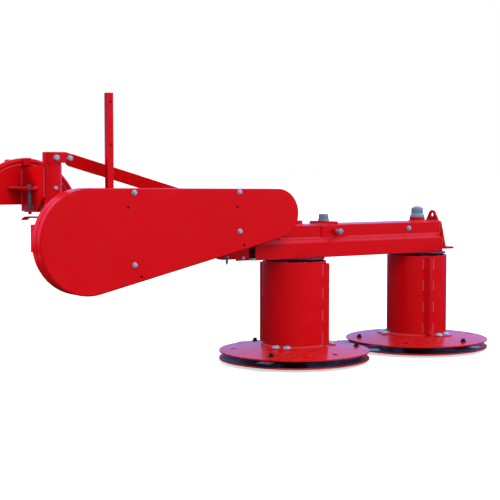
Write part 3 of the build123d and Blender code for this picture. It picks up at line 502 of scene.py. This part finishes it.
def makeDishPaint(name, spec, side):
    # red rim and underside; the tray's upward faces get a dark blue-grey that is painted shade and painted
    # sky reflection
    material, tree, shader = newFinish(name)
    spray = useGroup(tree, "spray", Colour=redEnamel["colour"], Deep=redEnamel["deep"],
                     Drift=redEnamel["drift"], Peel_Scale=redEnamel["peel"])
    tray = useGroup(tree, "spray", Colour=spec["trayShadeAndSkyBlue"], Deep=spec["trayShadeAndSkyBlueDeep"],
                    Drift=spec["trayDrift"], Peel_Scale=spec["trayPeel"])
    edge = useGroup(tree, "edge", Radius=spec["round"], Breakup=edgeRubAndGlint["paintBreakup"])
    dust = useGroup(tree, "dust", Top=spec["dustTop"], Low=spec["dustLow"], Level=spec["dustLevel"])
    coord = tree.nodes.new("ShaderNodeTexCoord")
    centre = tree.nodes.new("ShaderNodeMapping")
    centre.inputs["Location"].default_value = (-spec["centreX"][side], 0, 0)
    split = tree.nodes.new("ShaderNodeSeparateXYZ")
    geometry = tree.nodes.new("ShaderNodeNewGeometry")
    facing = tree.nodes.new("ShaderNodeSeparateXYZ")
    tree.links.new(coord.outputs["Object"], centre.inputs["Vector"])
    tree.links.new(centre.outputs["Vector"], split.inputs[0])
    tree.links.new(geometry.outputs["Normal"], facing.inputs[0])
    square = addMath(tree, "ADD", addMath(tree, "MULTIPLY", split.outputs["X"], split.outputs["X"]),
                     addMath(tree, "MULTIPLY", split.outputs["Y"], split.outputs["Y"]))
    inside = addMath(tree, "LESS_THAN", addMath(tree, "SQRT", square), spec["rimInner"])
    facesUp = addMath(tree, "GREATER_THAN", facing.outputs["Z"], spec["trayFacing"])
    # upward tray faces take the painted shade and sky reflection
    onShadedTray = addMath(tree, "MULTIPLY", inside, facesUp)
    paint = addMix(tree, onShadedTray, spray.outputs["Colour"], tray.outputs["Colour"])
    # edges take the lighter pink: partly worn primer, partly painted highlight
    rubbedAndGlinting = addMix(tree, addMath(tree, "MULTIPLY", edge.outputs["RubAndGlint"], spec["rub"]),
                    paint, redEnamel["primerAndGlint"])
    dusty = addMix(tree, dust.outputs["Dust"], rubbedAndGlinting, fieldDust["colour"])
    tree.links.new(dusty, shader.inputs["Base Color"])
    gloss = addRange(tree, spray.outputs["Sheen"], 0, 1, *spec["rough"])
    tree.links.new(gloss, shader.inputs["Roughness"])
    shader.inputs["Specular IOR Level"].default_value = spec["shine"]
    addBump(tree, shader, spray.outputs["Height"], spec["bump"], sprayCoat["depth"], edge.outputs["Normal"])
    return material


finishes["dishInner"] = makeDishPaint("dishEnamelInner", dishEnamel, "inner")
finishes["dishOuter"] = makeDishPaint("dishEnamelOuter", dishEnamel, "outer")


def makeFloorFinish(spec):
    material, tree, shader = newFinish("paleFloorCoat")
    coord = tree.nodes.new("ShaderNodeTexCoord").outputs["Object"]
    cloud = addNoise(tree, coord, spec["floorCloud"], 4.0)
    pale = addMix(tree, cloud.outputs["Fac"], *spec["floorTones"])
    path = tree.nodes.new("ShaderNodeLightPath")
    shown = addMix(tree, path.outputs["Is Camera Ray"], spec["floorBounce"], pale)
    tree.links.new(shown, shader.inputs["Base Color"])
    glow = addMath(tree, "MULTIPLY", path.outputs["Is Camera Ray"], spec["floorGlow"])
    tree.links.new(glow, shader.inputs["Emission Strength"])
    shader.inputs["Emission Color"].default_value = (1, 1, 1, 1)
    shader.inputs["Roughness"].default_value = spec["floorRough"]
    shader.inputs["Specular IOR Level"].default_value = spec["floorShine"]
    return material


floor.data.materials.append(makeFloorFinish(studio))

finishOfSlot = {
    "red_paint": "redPaint", "zinc_plate": "zinc", "shaft_steel": "shaft",
    "knife_steel": "knife", "holder_steel": "holder", "black_pin": "black",
}
finishOfNode = {
    "brace_bar": "mattShadedRed", "beam_box": "foldedRed", "beam_channel": "foldedRed",
    "axle_inner": "axle", "axle_outer": "axle",
    "skid_dish_inner": "dishInner", "skid_dish_outer": "dishOuter",
}


def paintNode(name, finish):
    obj = nodes[name]
    obj.data.materials.clear()
    obj.data.materials.append(finish)


for part in frame["record"]["subparts"]:
    if part["material_slot"] in finishOfSlot:
        paintNode(part["node"], finishes[finishOfSlot[part["material_slot"]]])
for name, finish in finishOfNode.items():
    paintNode(name, finishes[finish])
print("finishes on", sum(1 for node in nodes.values() if node.data.materials), "nodes")

# hand tools for the added pieces

bevelFrom = 35        # degrees between faces
smoothUnder = 38


def selectOnly(*objects):
    bpy.ops.object.select_all(action="DESELECT")
    for obj in objects:
        obj.select_set(True)
    bpy.context.view_layer.objects.active = objects[0]


def applyModifiers(obj):
    selectOnly(obj)
    for modifier in list(obj.modifiers):
        bpy.ops.object.modifier_apply(modifier=modifier.name)


def joinAll(objects, name):
    selectOnly(*objects)
    if len(objects) > 1:
        bpy.ops.object.join()
    piece = bpy.context.object
    bpy.ops.object.transform_apply(location=True, rotation=True, scale=True)
    piece.name = name
    return piece


def copyTo(master, matrix):
    mesh = master.data.copy()
    mesh.transform(matrix)
    copy = bpy.data.objects.new(master.name + "Copy", mesh)
    bpy.context.collection.objects.link(copy)
    return copy


def seatAt(place, outward, turn=0.0):
    # local Z leaves the surface along outward
    aim = Vector(outward).to_track_quat("Z", "X").to_matrix().to_4x4()
    return Matrix.Translation(place) @ aim @ Matrix.Rotation(math.radians(turn), 4, "Z")


def pickFaces(obj, test):
    selectOnly(obj)
    bpy.ops.object.mode_set(mode="EDIT")
    bpy.ops.mesh.select_mode(type="FACE")
    bpy.ops.mesh.select_all(action="DESELECT")
    bpy.ops.object.mode_set(mode="OBJECT")
    for face in obj.data.polygons:
        face.select = test(face)
    bpy.ops.object.mode_set(mode="EDIT")


def roundEdges(obj, width, segments=2):
    bevel = obj.modifiers.new("arris", "BEVEL")
    bevel.width = width
    bevel.segments = segments
    bevel.limit_method = "ANGLE"
    bevel.angle_limit = math.radians(bevelFrom)
    applyModifiers(obj)


def dressPiece(piece, finish, body):
    selectOnly(piece)
    bpy.ops.object.shade_smooth_by_angle(angle=math.radians(smoothUnder))
    piece.data.materials.clear()
    piece.data.materials.append(finishes[finish])
    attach(piece, body)
    return piece


def modelDisc(radius, height, rise=0.0, arris=0.0004, sides=40):
    # turned disc with broken edges
    bpy.ops.object.select_all(action="DESELECT")
    bpy.ops.mesh.primitive_cylinder_add(
        vertices=sides, radius=radius, depth=height, location=(0, 0, rise + height / 2))
    blank = bpy.context.object
    roundEdges(blank, arris)
    return blank


def modelCone(foot, top, height, rise, arris, sides):
    # turned taper with broken edges
    bpy.ops.object.select_all(action="DESELECT")
    bpy.ops.mesh.primitive_cone_add(
        vertices=sides, radius1=foot, radius2=top, depth=height, location=(0, 0, rise + height / 2))
    cone = bpy.context.object
    roundEdges(cone, arris)
    return cone


# shares of the width across flats, of the height and of the pitch
hexForm = {"topRadius": 0.475, "chamfer": 30, "skim": 0.01, "arris": 0.012, "sides": 64}
threadForm = {"root": 0.1, "core": 0.42, "coreArris": 0.5, "merge": 0.02, "steps": 20, "sides": 28}


def modelHexagon(across, height, rise):
    # hexagon whose top corners are turned off
    bpy.ops.object.select_all(action="DESELECT")
    bpy.ops.mesh.primitive_cylinder_add(
        vertices=6, radius=across / math.sqrt(3), depth=height, location=(0, 0, rise + height / 2))
    hexagon = bpy.context.object
    topRadius = across * hexForm["topRadius"]
    over = height / 2                          # the cutter reaches below the hexagon
    cut = height + over
    spread = cut / math.tan(math.radians(hexForm["chamfer"]))
    bpy.ops.mesh.primitive_cone_add(
        vertices=hexForm["sides"], radius1=topRadius + spread, radius2=topRadius, depth=cut,
        location=(0, 0, rise + (height - over) / 2 - height * hexForm["skim"]))
    cutter = bpy.context.object
    turned = hexagon.modifiers.new("turned", "BOOLEAN")
    turned.operation = "INTERSECT"
    turned.solver = "EXACT"
    turned.object = cutter
    applyModifiers(hexagon)
    bpy.data.objects.remove(cutter)
    roundEdges(hexagon, across * hexForm["arris"], 1)
    return hexagon


def modelThread(radius, pitch, length):
    # one V of thread wound up by a screw, over a core with turned ends
    bpy.ops.object.select_all(action="DESELECT")
    bpy.ops.mesh.primitive_plane_add(
        size=pitch / math.sqrt(2), rotation=(math.radians(90), math.radians(45), 0),
        location=(radius - pitch / 2, 0, pitch))
    thread = bpy.context.object
    bpy.ops.object.transform_apply(location=True, rotation=True, scale=True)
    inner = min(vertex.co.x for vertex in thread.data.vertices)
    bpy.ops.object.mode_set(mode="EDIT")
    bpy.ops.mesh.select_mode(type="VERT")
    bpy.ops.mesh.select_all(action="DESELECT")
    bpy.ops.object.mode_set(mode="OBJECT")
    for vertex in thread.data.vertices:
        vertex.select = vertex.co.x < inner + pitch * threadForm["root"]
    bpy.ops.object.mode_set(mode="EDIT")
    bpy.ops.mesh.delete(type="VERT")
    bpy.ops.object.mode_set(mode="OBJECT")
    wind = thread.modifiers.new("wind", "SCREW")
    wind.axis = "Z"
    wind.steps = wind.render_steps = threadForm["steps"]
    wind.screw_offset = pitch
    wind.iterations = max(1, int(length / pitch) - 2)
    wind.use_merge_vertices = True
    wind.merge_threshold = pitch * threadForm["merge"]
    applyModifiers(thread)
    core = modelDisc(radius - pitch * threadForm["core"], length, 0.0, pitch * threadForm["coreArris"],
                     threadForm["sides"])
    return joinAll([core, thread], "thread")


def modelHexBolt(spec):
    washer = modelDisc(spec["washer"] / 2, spec["washerHeight"])
    head = modelHexagon(spec["across"], spec["headHeight"], spec["washerHeight"])
    return joinAll([head, washer], "hexBolt")


backward = (0, -1, 0)
upward = (0, 0, 1)
downward = (0, 0, -1)
boltTurn = 17         # degrees from one head to the next


def setBolts(name, spec, places, body):
    # one bolt modelled, then set at each place on the rear faces
    master = modelHexBolt(spec)
    copies = [copyTo(master, seatAt(place, backward, boltTurn * count)) for count, place in enumerate(places)]
    bpy.data.objects.remove(master)
    dressPiece(joinAll(copies, name), "zinc", body)


# places read from the frame


def boxOf(name):
    low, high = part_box(name)
    return Vector(low), Vector(high)


def middleOf(name):
    low, high = boxOf(name)
    return (low + high) / 2


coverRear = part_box("guard_cover")[0][1]
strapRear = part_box("post_strap")[0][1]
boxLow, boxHigh = boxOf("beam_box")
channelLow, channelHigh = boxOf("beam_channel")
postRadius = 0.027    # as the solid's
postMiddle = middleOf("hinge_post")
bracketLow, bracketHigh = boxOf("beam_bracket")
rotorSides = ("inner", "outer")
rotorAxis = {side: middleOf("axle_" + side) for side in rotorSides}
swings = {joint["name"]: joint for joint in frame["record"]["behaviour"]["joints"]}
knifePins = {side: [Vector(swings[f"knife_{side}_{count}_swing"]["pos_m"]) for count in (1, 2, 3)]
             for side in rotorSides}

disc = {
    "drumRadius": 0.1095, "footZ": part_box("drum_inner")[0][2], "rimRadius": 0.26, "drop": 0.020,
    "padProud": 0.003, "boltRadius": 0.1235, "boltSpread": 0.020, "weldRadius": 0.1103,
}
discSlope = disc["drop"] / (disc["rimRadius"] - disc["drumRadius"])


def coneZ(radius):
    return disc["footZ"] - (radius - disc["drumRadius"]) * discSlope


# bolts of the frame

guardBolt = {"across": 0.0105, "headHeight": 0.0070, "washer": 0.0168, "washerHeight": 0.0014,
             "places": [(-0.705, 0.592), (-0.705, 0.373), (-0.325, 0.591), (-0.324, 0.465)]}
strapBolt = {"across": 0.0140, "headHeight": 0.0085, "washer": 0.0174, "washerHeight": 0.0014,
             "places": [(-0.8905, 0.6978), (-0.8462, 0.696)]}
postBolt = {"across": 0.010, "headHeight": 0.005, "washer": 0.0115, "washerHeight": 0.0012,
            "left": 0.002, "height": 0.606}
boxBolt = {"across": 0.013, "headHeight": 0.006, "washer": 0.018, "washerHeight": 0.0016,
           "x": 0.466, "height": 0.451}
footBolt = {"across": 0.009, "headHeight": 0.005, "washer": 0.0105, "washerHeight": 0.0012,
            "place": (-0.254, -0.060, 0.3715)}
postFace = (postMiddle.x - postBolt["left"], postMiddle.y - postRadius, postBolt["height"])

setBolts("guardBolts", guardBolt, [(x, coverRear, z) for x, z in guardBolt["places"]], "mower_frame")
setBolts("strapBolts", strapBolt, [(x, strapRear, z) for x, z in strapBolt["places"]], "mower_frame")
setBolts("postBolt", postBolt, [postFace], "headstock")
setBolts("boxBolt", boxBolt, [(boxBolt["x"], boxLow.y, boxBolt["height"])], "mower_frame")
setBolts("bracketFootBolt", footBolt, [footBolt["place"]], "mower_frame")

flange = {"rise": 0.008, "thick": 0.005, "start": 0.021, "length": 0.056}      # on the beam bracket's foot
flangeLow = bracketLow.z + flange["rise"]
flangeTop = flangeLow + flange["thick"]
hangingBolt = {"across": 0.013, "headHeight": 0.0055, "washer": 0.0166, "washerHeight": 0.0014,
               "radius": 0.005, "pitch": 0.0015, "length": 0.012, "place": (-0.325, -0.075),
               "point": 0.0065, "pointFoot": 0.8, "pointTip": 0.15, "pointArris": 0.1}


def makeHangingBolt(spec):
    # pointed screw down through the bracket's flange, its head on top
    radius = spec["radius"]
    thread = modelThread(radius, spec["pitch"], spec["length"])
    point = modelCone(radius * spec["pointFoot"], radius * spec["pointTip"], spec["point"], spec["length"],
                      radius * spec["pointArris"], threadForm["sides"])
    shank = joinAll([thread, point], "hangingShank")
    shank.data.transform(seatAt((*spec["place"], flangeLow), downward))
    head = modelHexBolt(spec)
    head.data.transform(Matrix.Translation((*spec["place"], flangeTop)))
    dressPiece(joinAll([head, shank], "hangingBolt"), "zinc", "mower_frame")


makeHangingBolt(hangingBolt)

gussetTop = 0.606     # of the post bracket, which the lock nut sits on
lockScrew = {"radius": 0.006, "pitch": 0.00175, "nutAcross": 0.0145, "nutHeight": 0.009}


def makeLockScrew(spec):
    low, high = boxOf("lock_screw")
    middle = (low + high) / 2
    screw = modelThread(spec["radius"], spec["pitch"], high.z - low.z)
    nut = modelHexagon(spec["nutAcross"], spec["nutHeight"], gussetTop - low.z)
    piece = joinAll([screw, nut], "lockScrewThread")
    piece.data.transform(Matrix.Translation((middle.x, middle.y, low.z)))
    dressPiece(piece, "thread", "headstock")
    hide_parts("lock_screw")


makeLockScrew(lockScrew)

axleNut = {"washerRadius": 0.027, "washerHeight": 0.005, "washerArris": 0.0008,
           "coneFoot": 0.026, "coneTop": 0.022, "coneHeight": 0.010, "coneArris": 0.0006,
           "across": 0.041, "nutHeight": 0.020, "turn": 11, "sides": 48,
           "crownFoot": 0.01927, "crownTop": 0.0115, "crownHeight": 0.006, "crownArris": 0.0012,
           "crownSunk": 0.0006}


def makeAxleNut(spec):
    low = Vector(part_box("axle_nut_outer")[0])
    hexFoot = spec["washerHeight"] + spec["coneHeight"]
    crownLow = hexFoot + spec["nutHeight"] - spec["crownSunk"]
    washer = modelDisc(spec["washerRadius"], spec["washerHeight"], 0.0, spec["washerArris"], spec["sides"])
    cone = modelCone(spec["coneFoot"], spec["coneTop"], spec["coneHeight"], spec["washerHeight"],
                     spec["coneArris"], spec["sides"])
    nut = modelHexagon(spec["across"], spec["nutHeight"], hexFoot)
    crown = modelCone(spec["crownFoot"], spec["crownTop"], spec["crownHeight"], crownLow,
                      spec["crownArris"], spec["sides"])
    piece = joinAll([nut, washer, cone, crown], "axleNut")
    piece.data.transform(seatAt((rotorAxis["outer"].x, 0, low.z), upward, spec["turn"]))
    dressPiece(piece, "nut", "mower_frame")
    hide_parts("axle_nut_outer")


makeAxleNut(axleNut)

idlerNut = {"collarRadius": 0.0195, "collarHeight": 0.008, "collarArris": 0.001, "sides": 48,
            "across": 0.034, "turn": 21}


def makeIdlerNut(spec):
    low, high = boxOf("idler_nut")
    middle = (low + high) / 2
    collar = modelDisc(spec["collarRadius"], spec["collarHeight"], 0.0, spec["collarArris"], spec["sides"])
    nut = modelHexagon(spec["across"], high.z - low.z - spec["collarHeight"], spec["collarHeight"])
    piece = joinAll([nut, collar], "idlerNut")
    piece.data.transform(seatAt((middle.x, middle.y, low.z), upward, spec["turn"]))
    dressPiece(piece, "nut", "mower_frame")
    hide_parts("idler_nut")


makeIdlerNut(idlerNut)

tensionBolt = {"radius": 0.005, "pitch": 0.0015, "across": 0.017, "headHeight": 0.008}


def makeTensionBolt(spec):
    low, high = boxOf("tension_bolt")
    middle = (low + high) / 2
    length = high.y - low.y
    shank = modelThread(spec["radius"], spec["pitch"], length)
    head = modelHexagon(spec["across"], spec["headHeight"], length - spec["headHeight"])
    piece = joinAll([head, shank], "tensionBolt")
    piece.data.transform(seatAt((middle.x, high.y, middle.z), backward))
    dressPiece(piece, "nut", "mower_frame")
    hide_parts("tension_bolt")


makeTensionBolt(tensionBolt)
print("bolts and nuts set")

# bolts on the disc pads and the knife pins

padBolt = {"washer": 0.0142, "washerHeight": 0.0016, "dome": 0.0125, "domeHeight": 0.0058,
           "segments": 28, "rings": 14}


def modelPadBolt(spec):
    # domed head on a flat washer
    bpy.ops.object.select_all(action="DESELECT")
    bpy.ops.mesh.primitive_uv_sphere_add(
        segments=spec["segments"], ring_count=spec["rings"], radius=spec["dome"])
    dome = bpy.context.object
    bpy.ops.object.mode_set(mode="EDIT")
    bpy.ops.mesh.bisect(plane_co=(0, 0, 0), plane_no=(0, 0, 1), use_fill=True, clear_inner=True)
    bpy.ops.mesh.select_all(action="SELECT")
    bpy.ops.transform.resize(value=(1, 1, spec["domeHeight"] / spec["dome"]), center_override=(0, 0, 0))
    bpy.ops.transform.translate(value=(0, 0, spec["washerHeight"]))
    bpy.ops.object.mode_set(mode="OBJECT")
    washer = modelDisc(spec["washer"], spec["washerHeight"])
    return joinAll([dome, washer], "padBolt")


def setPadBolts(side):
    master = modelPadBolt(padBolt)
    axis = rotorAxis[side]
    copies = []
    for pin in knifePins[side]:
        outward = Vector((pin.x - axis.x, pin.y, 0)).normalized()
        along = Vector((-outward.y, outward.x, 0))
        normal = (outward * discSlope + Vector(upward)).normalized()
        centre = Vector((axis.x, 0, coneZ(disc["boltRadius"]))) + outward * disc["boltRadius"]
        for spread in (-disc["boltSpread"], disc["boltSpread"]):
            foot = centre + along * spread
            copies.append(copyTo(master, seatAt(foot + normal * disc["padProud"], normal)))
    bpy.data.objects.remove(master)
    dressPiece(joinAll(copies, "padBolts" + side.title()), "zinc", "rotor_" + side)


knifePin = {"shank": 0.008, "collar": 0.014, "collarLow": 0.0262, "collarHigh": 0.031, "head": 0.0105,
            "headHeight": 0.003, "stub": 0.0070, "stubHeight": 0.0080, "bore": 0.0038, "boreDepth": 0.007,
            "arris": 0.0006, "headArris": 0.0007, "sides": 32, "headSides": 36,
            "lower": 0.0035}          # heads stand this much below the top of the solid's


def modelKnifePin(spec, low, high):
    # shank and collar below the disc, flat head and hollow stub above it
    arris, sides = spec["arris"], spec["sides"]
    stubHeight = spec["stubHeight"]
    headLow = high - stubHeight - spec["headHeight"]
    shank = modelDisc(spec["shank"], headLow - low, low, arris, sides)
    collarHeight = spec["collarHigh"] - spec["collarLow"]
    collar = modelDisc(spec["collar"], collarHeight, spec["collarLow"], arris, sides)
    head = modelDisc(spec["head"], spec["headHeight"], headLow, spec["headArris"], spec["headSides"])
    bpy.ops.object.select_all(action="DESELECT")
    bpy.ops.mesh.primitive_cylinder_add(
        vertices=sides, radius=spec["stub"], depth=stubHeight, location=(0, 0, high - stubHeight / 2))
    stub = bpy.context.object
    bpy.ops.object.transform_apply(location=True, rotation=True, scale=True)
    pickFaces(stub, lambda face: face.normal.z > 0.9)
    bpy.ops.mesh.inset(thickness=spec["stub"] - spec["bore"])
    bpy.ops.mesh.extrude_region_move(TRANSFORM_OT_translate={"value": (0, 0, -spec["boreDepth"])})
    bpy.ops.object.mode_set(mode="OBJECT")
    roundEdges(stub, arris)
    return joinAll([head, shank, collar, stub], "knifePin")


def setKnifePins(side):
    low, high = (corner[2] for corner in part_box("knife_pins_" + side))
    master = modelKnifePin(knifePin, low, high - knifePin["lower"])
    copies = [copyTo(master, Matrix.Translation((pin.x, pin.y, 0))) for pin in knifePins[side]]
    bpy.data.objects.remove(master)
    piece = dressPiece(joinAll(copies, "knifePinSet" + side.title()), "black", "rotor_" + side)
    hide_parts("knife_pins_" + side)


for side in rotorSides:
    setPadBolts(side)
    setKnifePins(side)
print("rotor bolts and pins set")

# welds

weldBead = {"radius": 0.0035, "flat": 0.86, "pitch": 0.0046, "rings": 6, "sides": 10,
            "proud": 0.0005,          # how far a bead's middle stands off its face
            "stop": 0.004}            # left bare at the end of a seam


def modelBead(spec):
    # one ripple of a weld, flattened along its run, which is local X
    bpy.ops.object.select_all(action="DESELECT")
    bpy.ops.mesh.primitive_uv_sphere_add(
        segments=spec["sides"], ring_count=spec["rings"], radius=spec["radius"])
    bead = bpy.context.object
    bpy.ops.object.mode_set(mode="EDIT")
    bpy.ops.mesh.select_all(action="SELECT")
    bpy.ops.transform.resize(value=(spec["flat"], 1, 1), center_override=(0, 0, 0))
    bpy.ops.object.mode_set(mode="OBJECT")
    return bead


def weldLine(start, end):
    start, end = Vector(start), Vector(end)
    bead = modelBead(weldBead)
    row = bead.modifiers.new("row", "ARRAY")
    row.count = max(2, round((end - start).length / weldBead["pitch"]))
    row.use_relative_offset = False
    row.use_constant_offset = True
    row.constant_offset_displace = (weldBead["pitch"], 0, 0)
    applyModifiers(bead)
    turn = (end - start).to_track_quat("X", "Z").to_matrix().to_4x4()
    bead.data.transform(Matrix.Translation(start) @ turn)
    return bead


def weldArc(centre, axis, radius, start, sweep):
    # start and sweep in degrees round axis, which is "Y" or "Z"
    normal = Vector(upward if axis == "Z" else backward)
    across = Vector((1, 0, 0))
    up = normal.cross(across)
    angle = math.radians(start)
    outward = across * math.cos(angle) + up * math.sin(angle)
    bead = modelBead(weldBead)
    bead.data.transform(Matrix.Translation(Vector(centre) + outward * radius)
                        @ normal.cross(outward).to_track_quat("X", "Z").to_matrix().to_4x4())
    steps = max(2, round(math.radians(abs(sweep)) * radius / weldBead["pitch"]))
    selectOnly(bead)
    bpy.ops.object.mode_set(mode="EDIT")
    bpy.ops.mesh.select_all(action="SELECT")
    bpy.ops.mesh.spin(steps=steps, dupli=True, angle=-math.radians(sweep), center=centre, axis=normal)
    bpy.ops.object.mode_set(mode="OBJECT")
    return bead


def dressWelds(name, runs, body):
    # the beads take the lighter red with its painted highlight
    dressPiece(joinAll(runs, name), "weldGlintRed", body)


# the angle iron up each drum: its turn in degrees, half its foot, and the stitches that hold it
ridge = {"inner": -54, "outer": 71, "toe": 0.0198, "low": 0.070, "high": 0.339,
         "stitch": 0.036, "stitches": 4}


def weldDrum(side):
    axis = rotorAxis[side]
    radius = disc["drumRadius"]
    runs = [weldArc((axis.x, 0, disc["footZ"] + weldBead["proud"]), "Z", disc["weldRadius"], 0, 360)]
    toeTurn = math.degrees(math.asin(ridge["toe"] / radius))
    gap = (ridge["high"] - ridge["low"] - ridge["stitch"]) / (ridge["stitches"] - 1)
    for half in (0, 180):
        for lean in (-toeTurn, toeTurn):
            angle = math.radians(ridge[side] + half + lean)
            x, y = axis.x + math.cos(angle) * radius, math.sin(angle) * radius
            for stitch in range(ridge["stitches"]):
                low = ridge["low"] + stitch * gap
                runs.append(weldLine((x, y, low), (x, y, low + ridge["stitch"])))
    dressWelds("drumWelds" + side.title(), runs, "rotor_" + side)


for side in rotorSides:
    weldDrum(side)

beamEnd = boxHigh.x
armLow, armHigh = boxOf("frame_arm")
plateLow, plateHigh = boxOf("idler_plate")
socketLow, socketHigh = boxOf("stand_socket")
beamSeam = {"shoulder": 0.414, "housingShare": 0.97, "bossRadius": 0.0286}
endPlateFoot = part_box("beam_end_plate")[0][2]
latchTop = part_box("latch_plate")[1][2]


def weldBeam(spec):
    runs = []
    stop = weldBead["stop"]
    for y in (boxLow.y, boxHigh.y):
        housingY = y * spec["housingShare"]
        runs.append(weldLine((boxLow.x, y, boxLow.z), (beamEnd, y, boxLow.z)))
        runs.append(weldLine((beamEnd, y, boxLow.z + stop), (beamEnd, y, boxHigh.z - stop)))
        runs.append(weldLine((boxLow.x, housingY, boxLow.z + stop), (boxLow.x, housingY, boxHigh.z)))
    for y in (channelLow.y, channelHigh.y):
        runs.append(weldLine((beamEnd, y, endPlateFoot + stop), (beamEnd, y, spec["shoulder"])))
    runs.append(weldLine((beamEnd, boxLow.y + stop, boxHigh.z), (beamEnd, boxHigh.y - stop, boxHigh.z)))
    for side in rotorSides:
        foot = (rotorAxis[side].x, 0, boxHigh.z + weldBead["proud"])
        runs.append(weldArc(foot, "Z", spec["bossRadius"], 0, 360))
    for x in (plateLow.x, plateHigh.x):
        runs.append(weldLine((x, plateLow.y, boxHigh.z), (x, plateHigh.y, boxHigh.z)))
    dressWelds("beamWelds", runs, "mower_frame")


frameSeam = {"armStop": 0.003, "socketStop": 0.002,
             "sleeveRadius": 0.0375, "sleeveStart": 98, "sleeveSweep": 52}


def weldFrame(spec):
    runs = []
    armStop, socketStop = spec["armStop"], spec["socketStop"]
    for z in (armLow.z, armHigh.z):
        for x in (armLow.x, armHigh.x):
            runs.append(weldLine((x, armLow.y + armStop, z), (x, armHigh.y - armStop, z)))
    for y in (armLow.y, armHigh.y):
        runs.append(weldLine((armHigh.x, y, armLow.z), (armHigh.x, y, armHigh.z)))
    runs.append(weldLine((bracketLow.x, armLow.y, armLow.z), (bracketHigh.x, armLow.y, armLow.z)))
    flangeStart = bracketLow.x + flange["start"]
    flangeEnd = flangeStart + flange["length"]
    runs.append(weldLine((flangeStart, armLow.y, flangeTop), (flangeEnd, armLow.y, flangeTop)))
    for x in (socketLow.x, socketHigh.x):
        low, high = socketLow.z + socketStop, armHigh.z - socketStop
        runs.append(weldLine((x, socketHigh.y, low), (x, socketHigh.y, high)))
    runs.append(weldArc((postMiddle.x, postMiddle.y, latchTop), "Z", spec["sleeveRadius"],
                        spec["sleeveStart"], spec["sleeveSweep"]))
    dressWelds("frameWelds", runs, "mower_frame")


archRear, archFront = (corner[1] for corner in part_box("arch_web"))
arch = {"left": 0.024, "centreZ": 0.514, "webRadius": 0.164, "start": 14.5}       # left of the post
postBracket = {"left": 0.035, "right": 0.031, "low": 0.534, "high": 0.664,
               "weldLow": 0.580, "weldHigh": 0.672, "gussetRear": 0.064, "gussetReach": 0.047}
linkEar = {"outer": 0.038, "low": 0.586, "high": 0.656}
hitchLeg = {"topOffset": 0.115, "topZ": 0.575, "radius": 0.030,
            "start": {"left": 15, "right": 0}, "sweep": 165}


def weldHeadstock():
    runs = []
    archX = postMiddle.x - arch["left"]
    for y in (archRear, archFront):
        runs.append(weldArc((archX, y, arch["centreZ"]), "Y", arch["webRadius"], arch["start"],
                            180 - 2 * arch["start"]))
    for turn, hand in ((-1, "left"), (1, "right")):
        face = postMiddle.x + turn * postBracket[hand]
        runs.append(weldLine((face, archRear, postBracket["low"]), (face, archRear, postBracket["high"])))
        flank = postMiddle.x + turn * (postRadius + weldBead["proud"])
        runs.append(weldLine((flank, postMiddle.y, postBracket["weldLow"]),
                             (flank, postMiddle.y, postBracket["weldHigh"])))
        ear = archX + turn * linkEar["outer"]
        runs.append(weldLine((ear, archFront, linkEar["low"]), (ear, archFront, linkEar["high"])))
        leg = (archX + turn * hitchLeg["topOffset"], archFront, hitchLeg["topZ"])
        runs.append(weldArc(leg, "Y", hitchLeg["radius"], hitchLeg["start"][hand], hitchLeg["sweep"]))
    left = postMiddle.x - postBracket["left"]
    corner = (left, archRear, gussetTop)
    runs.append(weldLine((left, postBracket["gussetRear"], gussetTop), corner))
    runs.append(weldLine(corner, (left - postBracket["gussetReach"], archRear, gussetTop)))
    dressWelds("headstockWelds", runs, "headstock")


weldBeam(beamSeam)
weldFrame(frameSeam)
weldHeadstock()
print("welds laid")
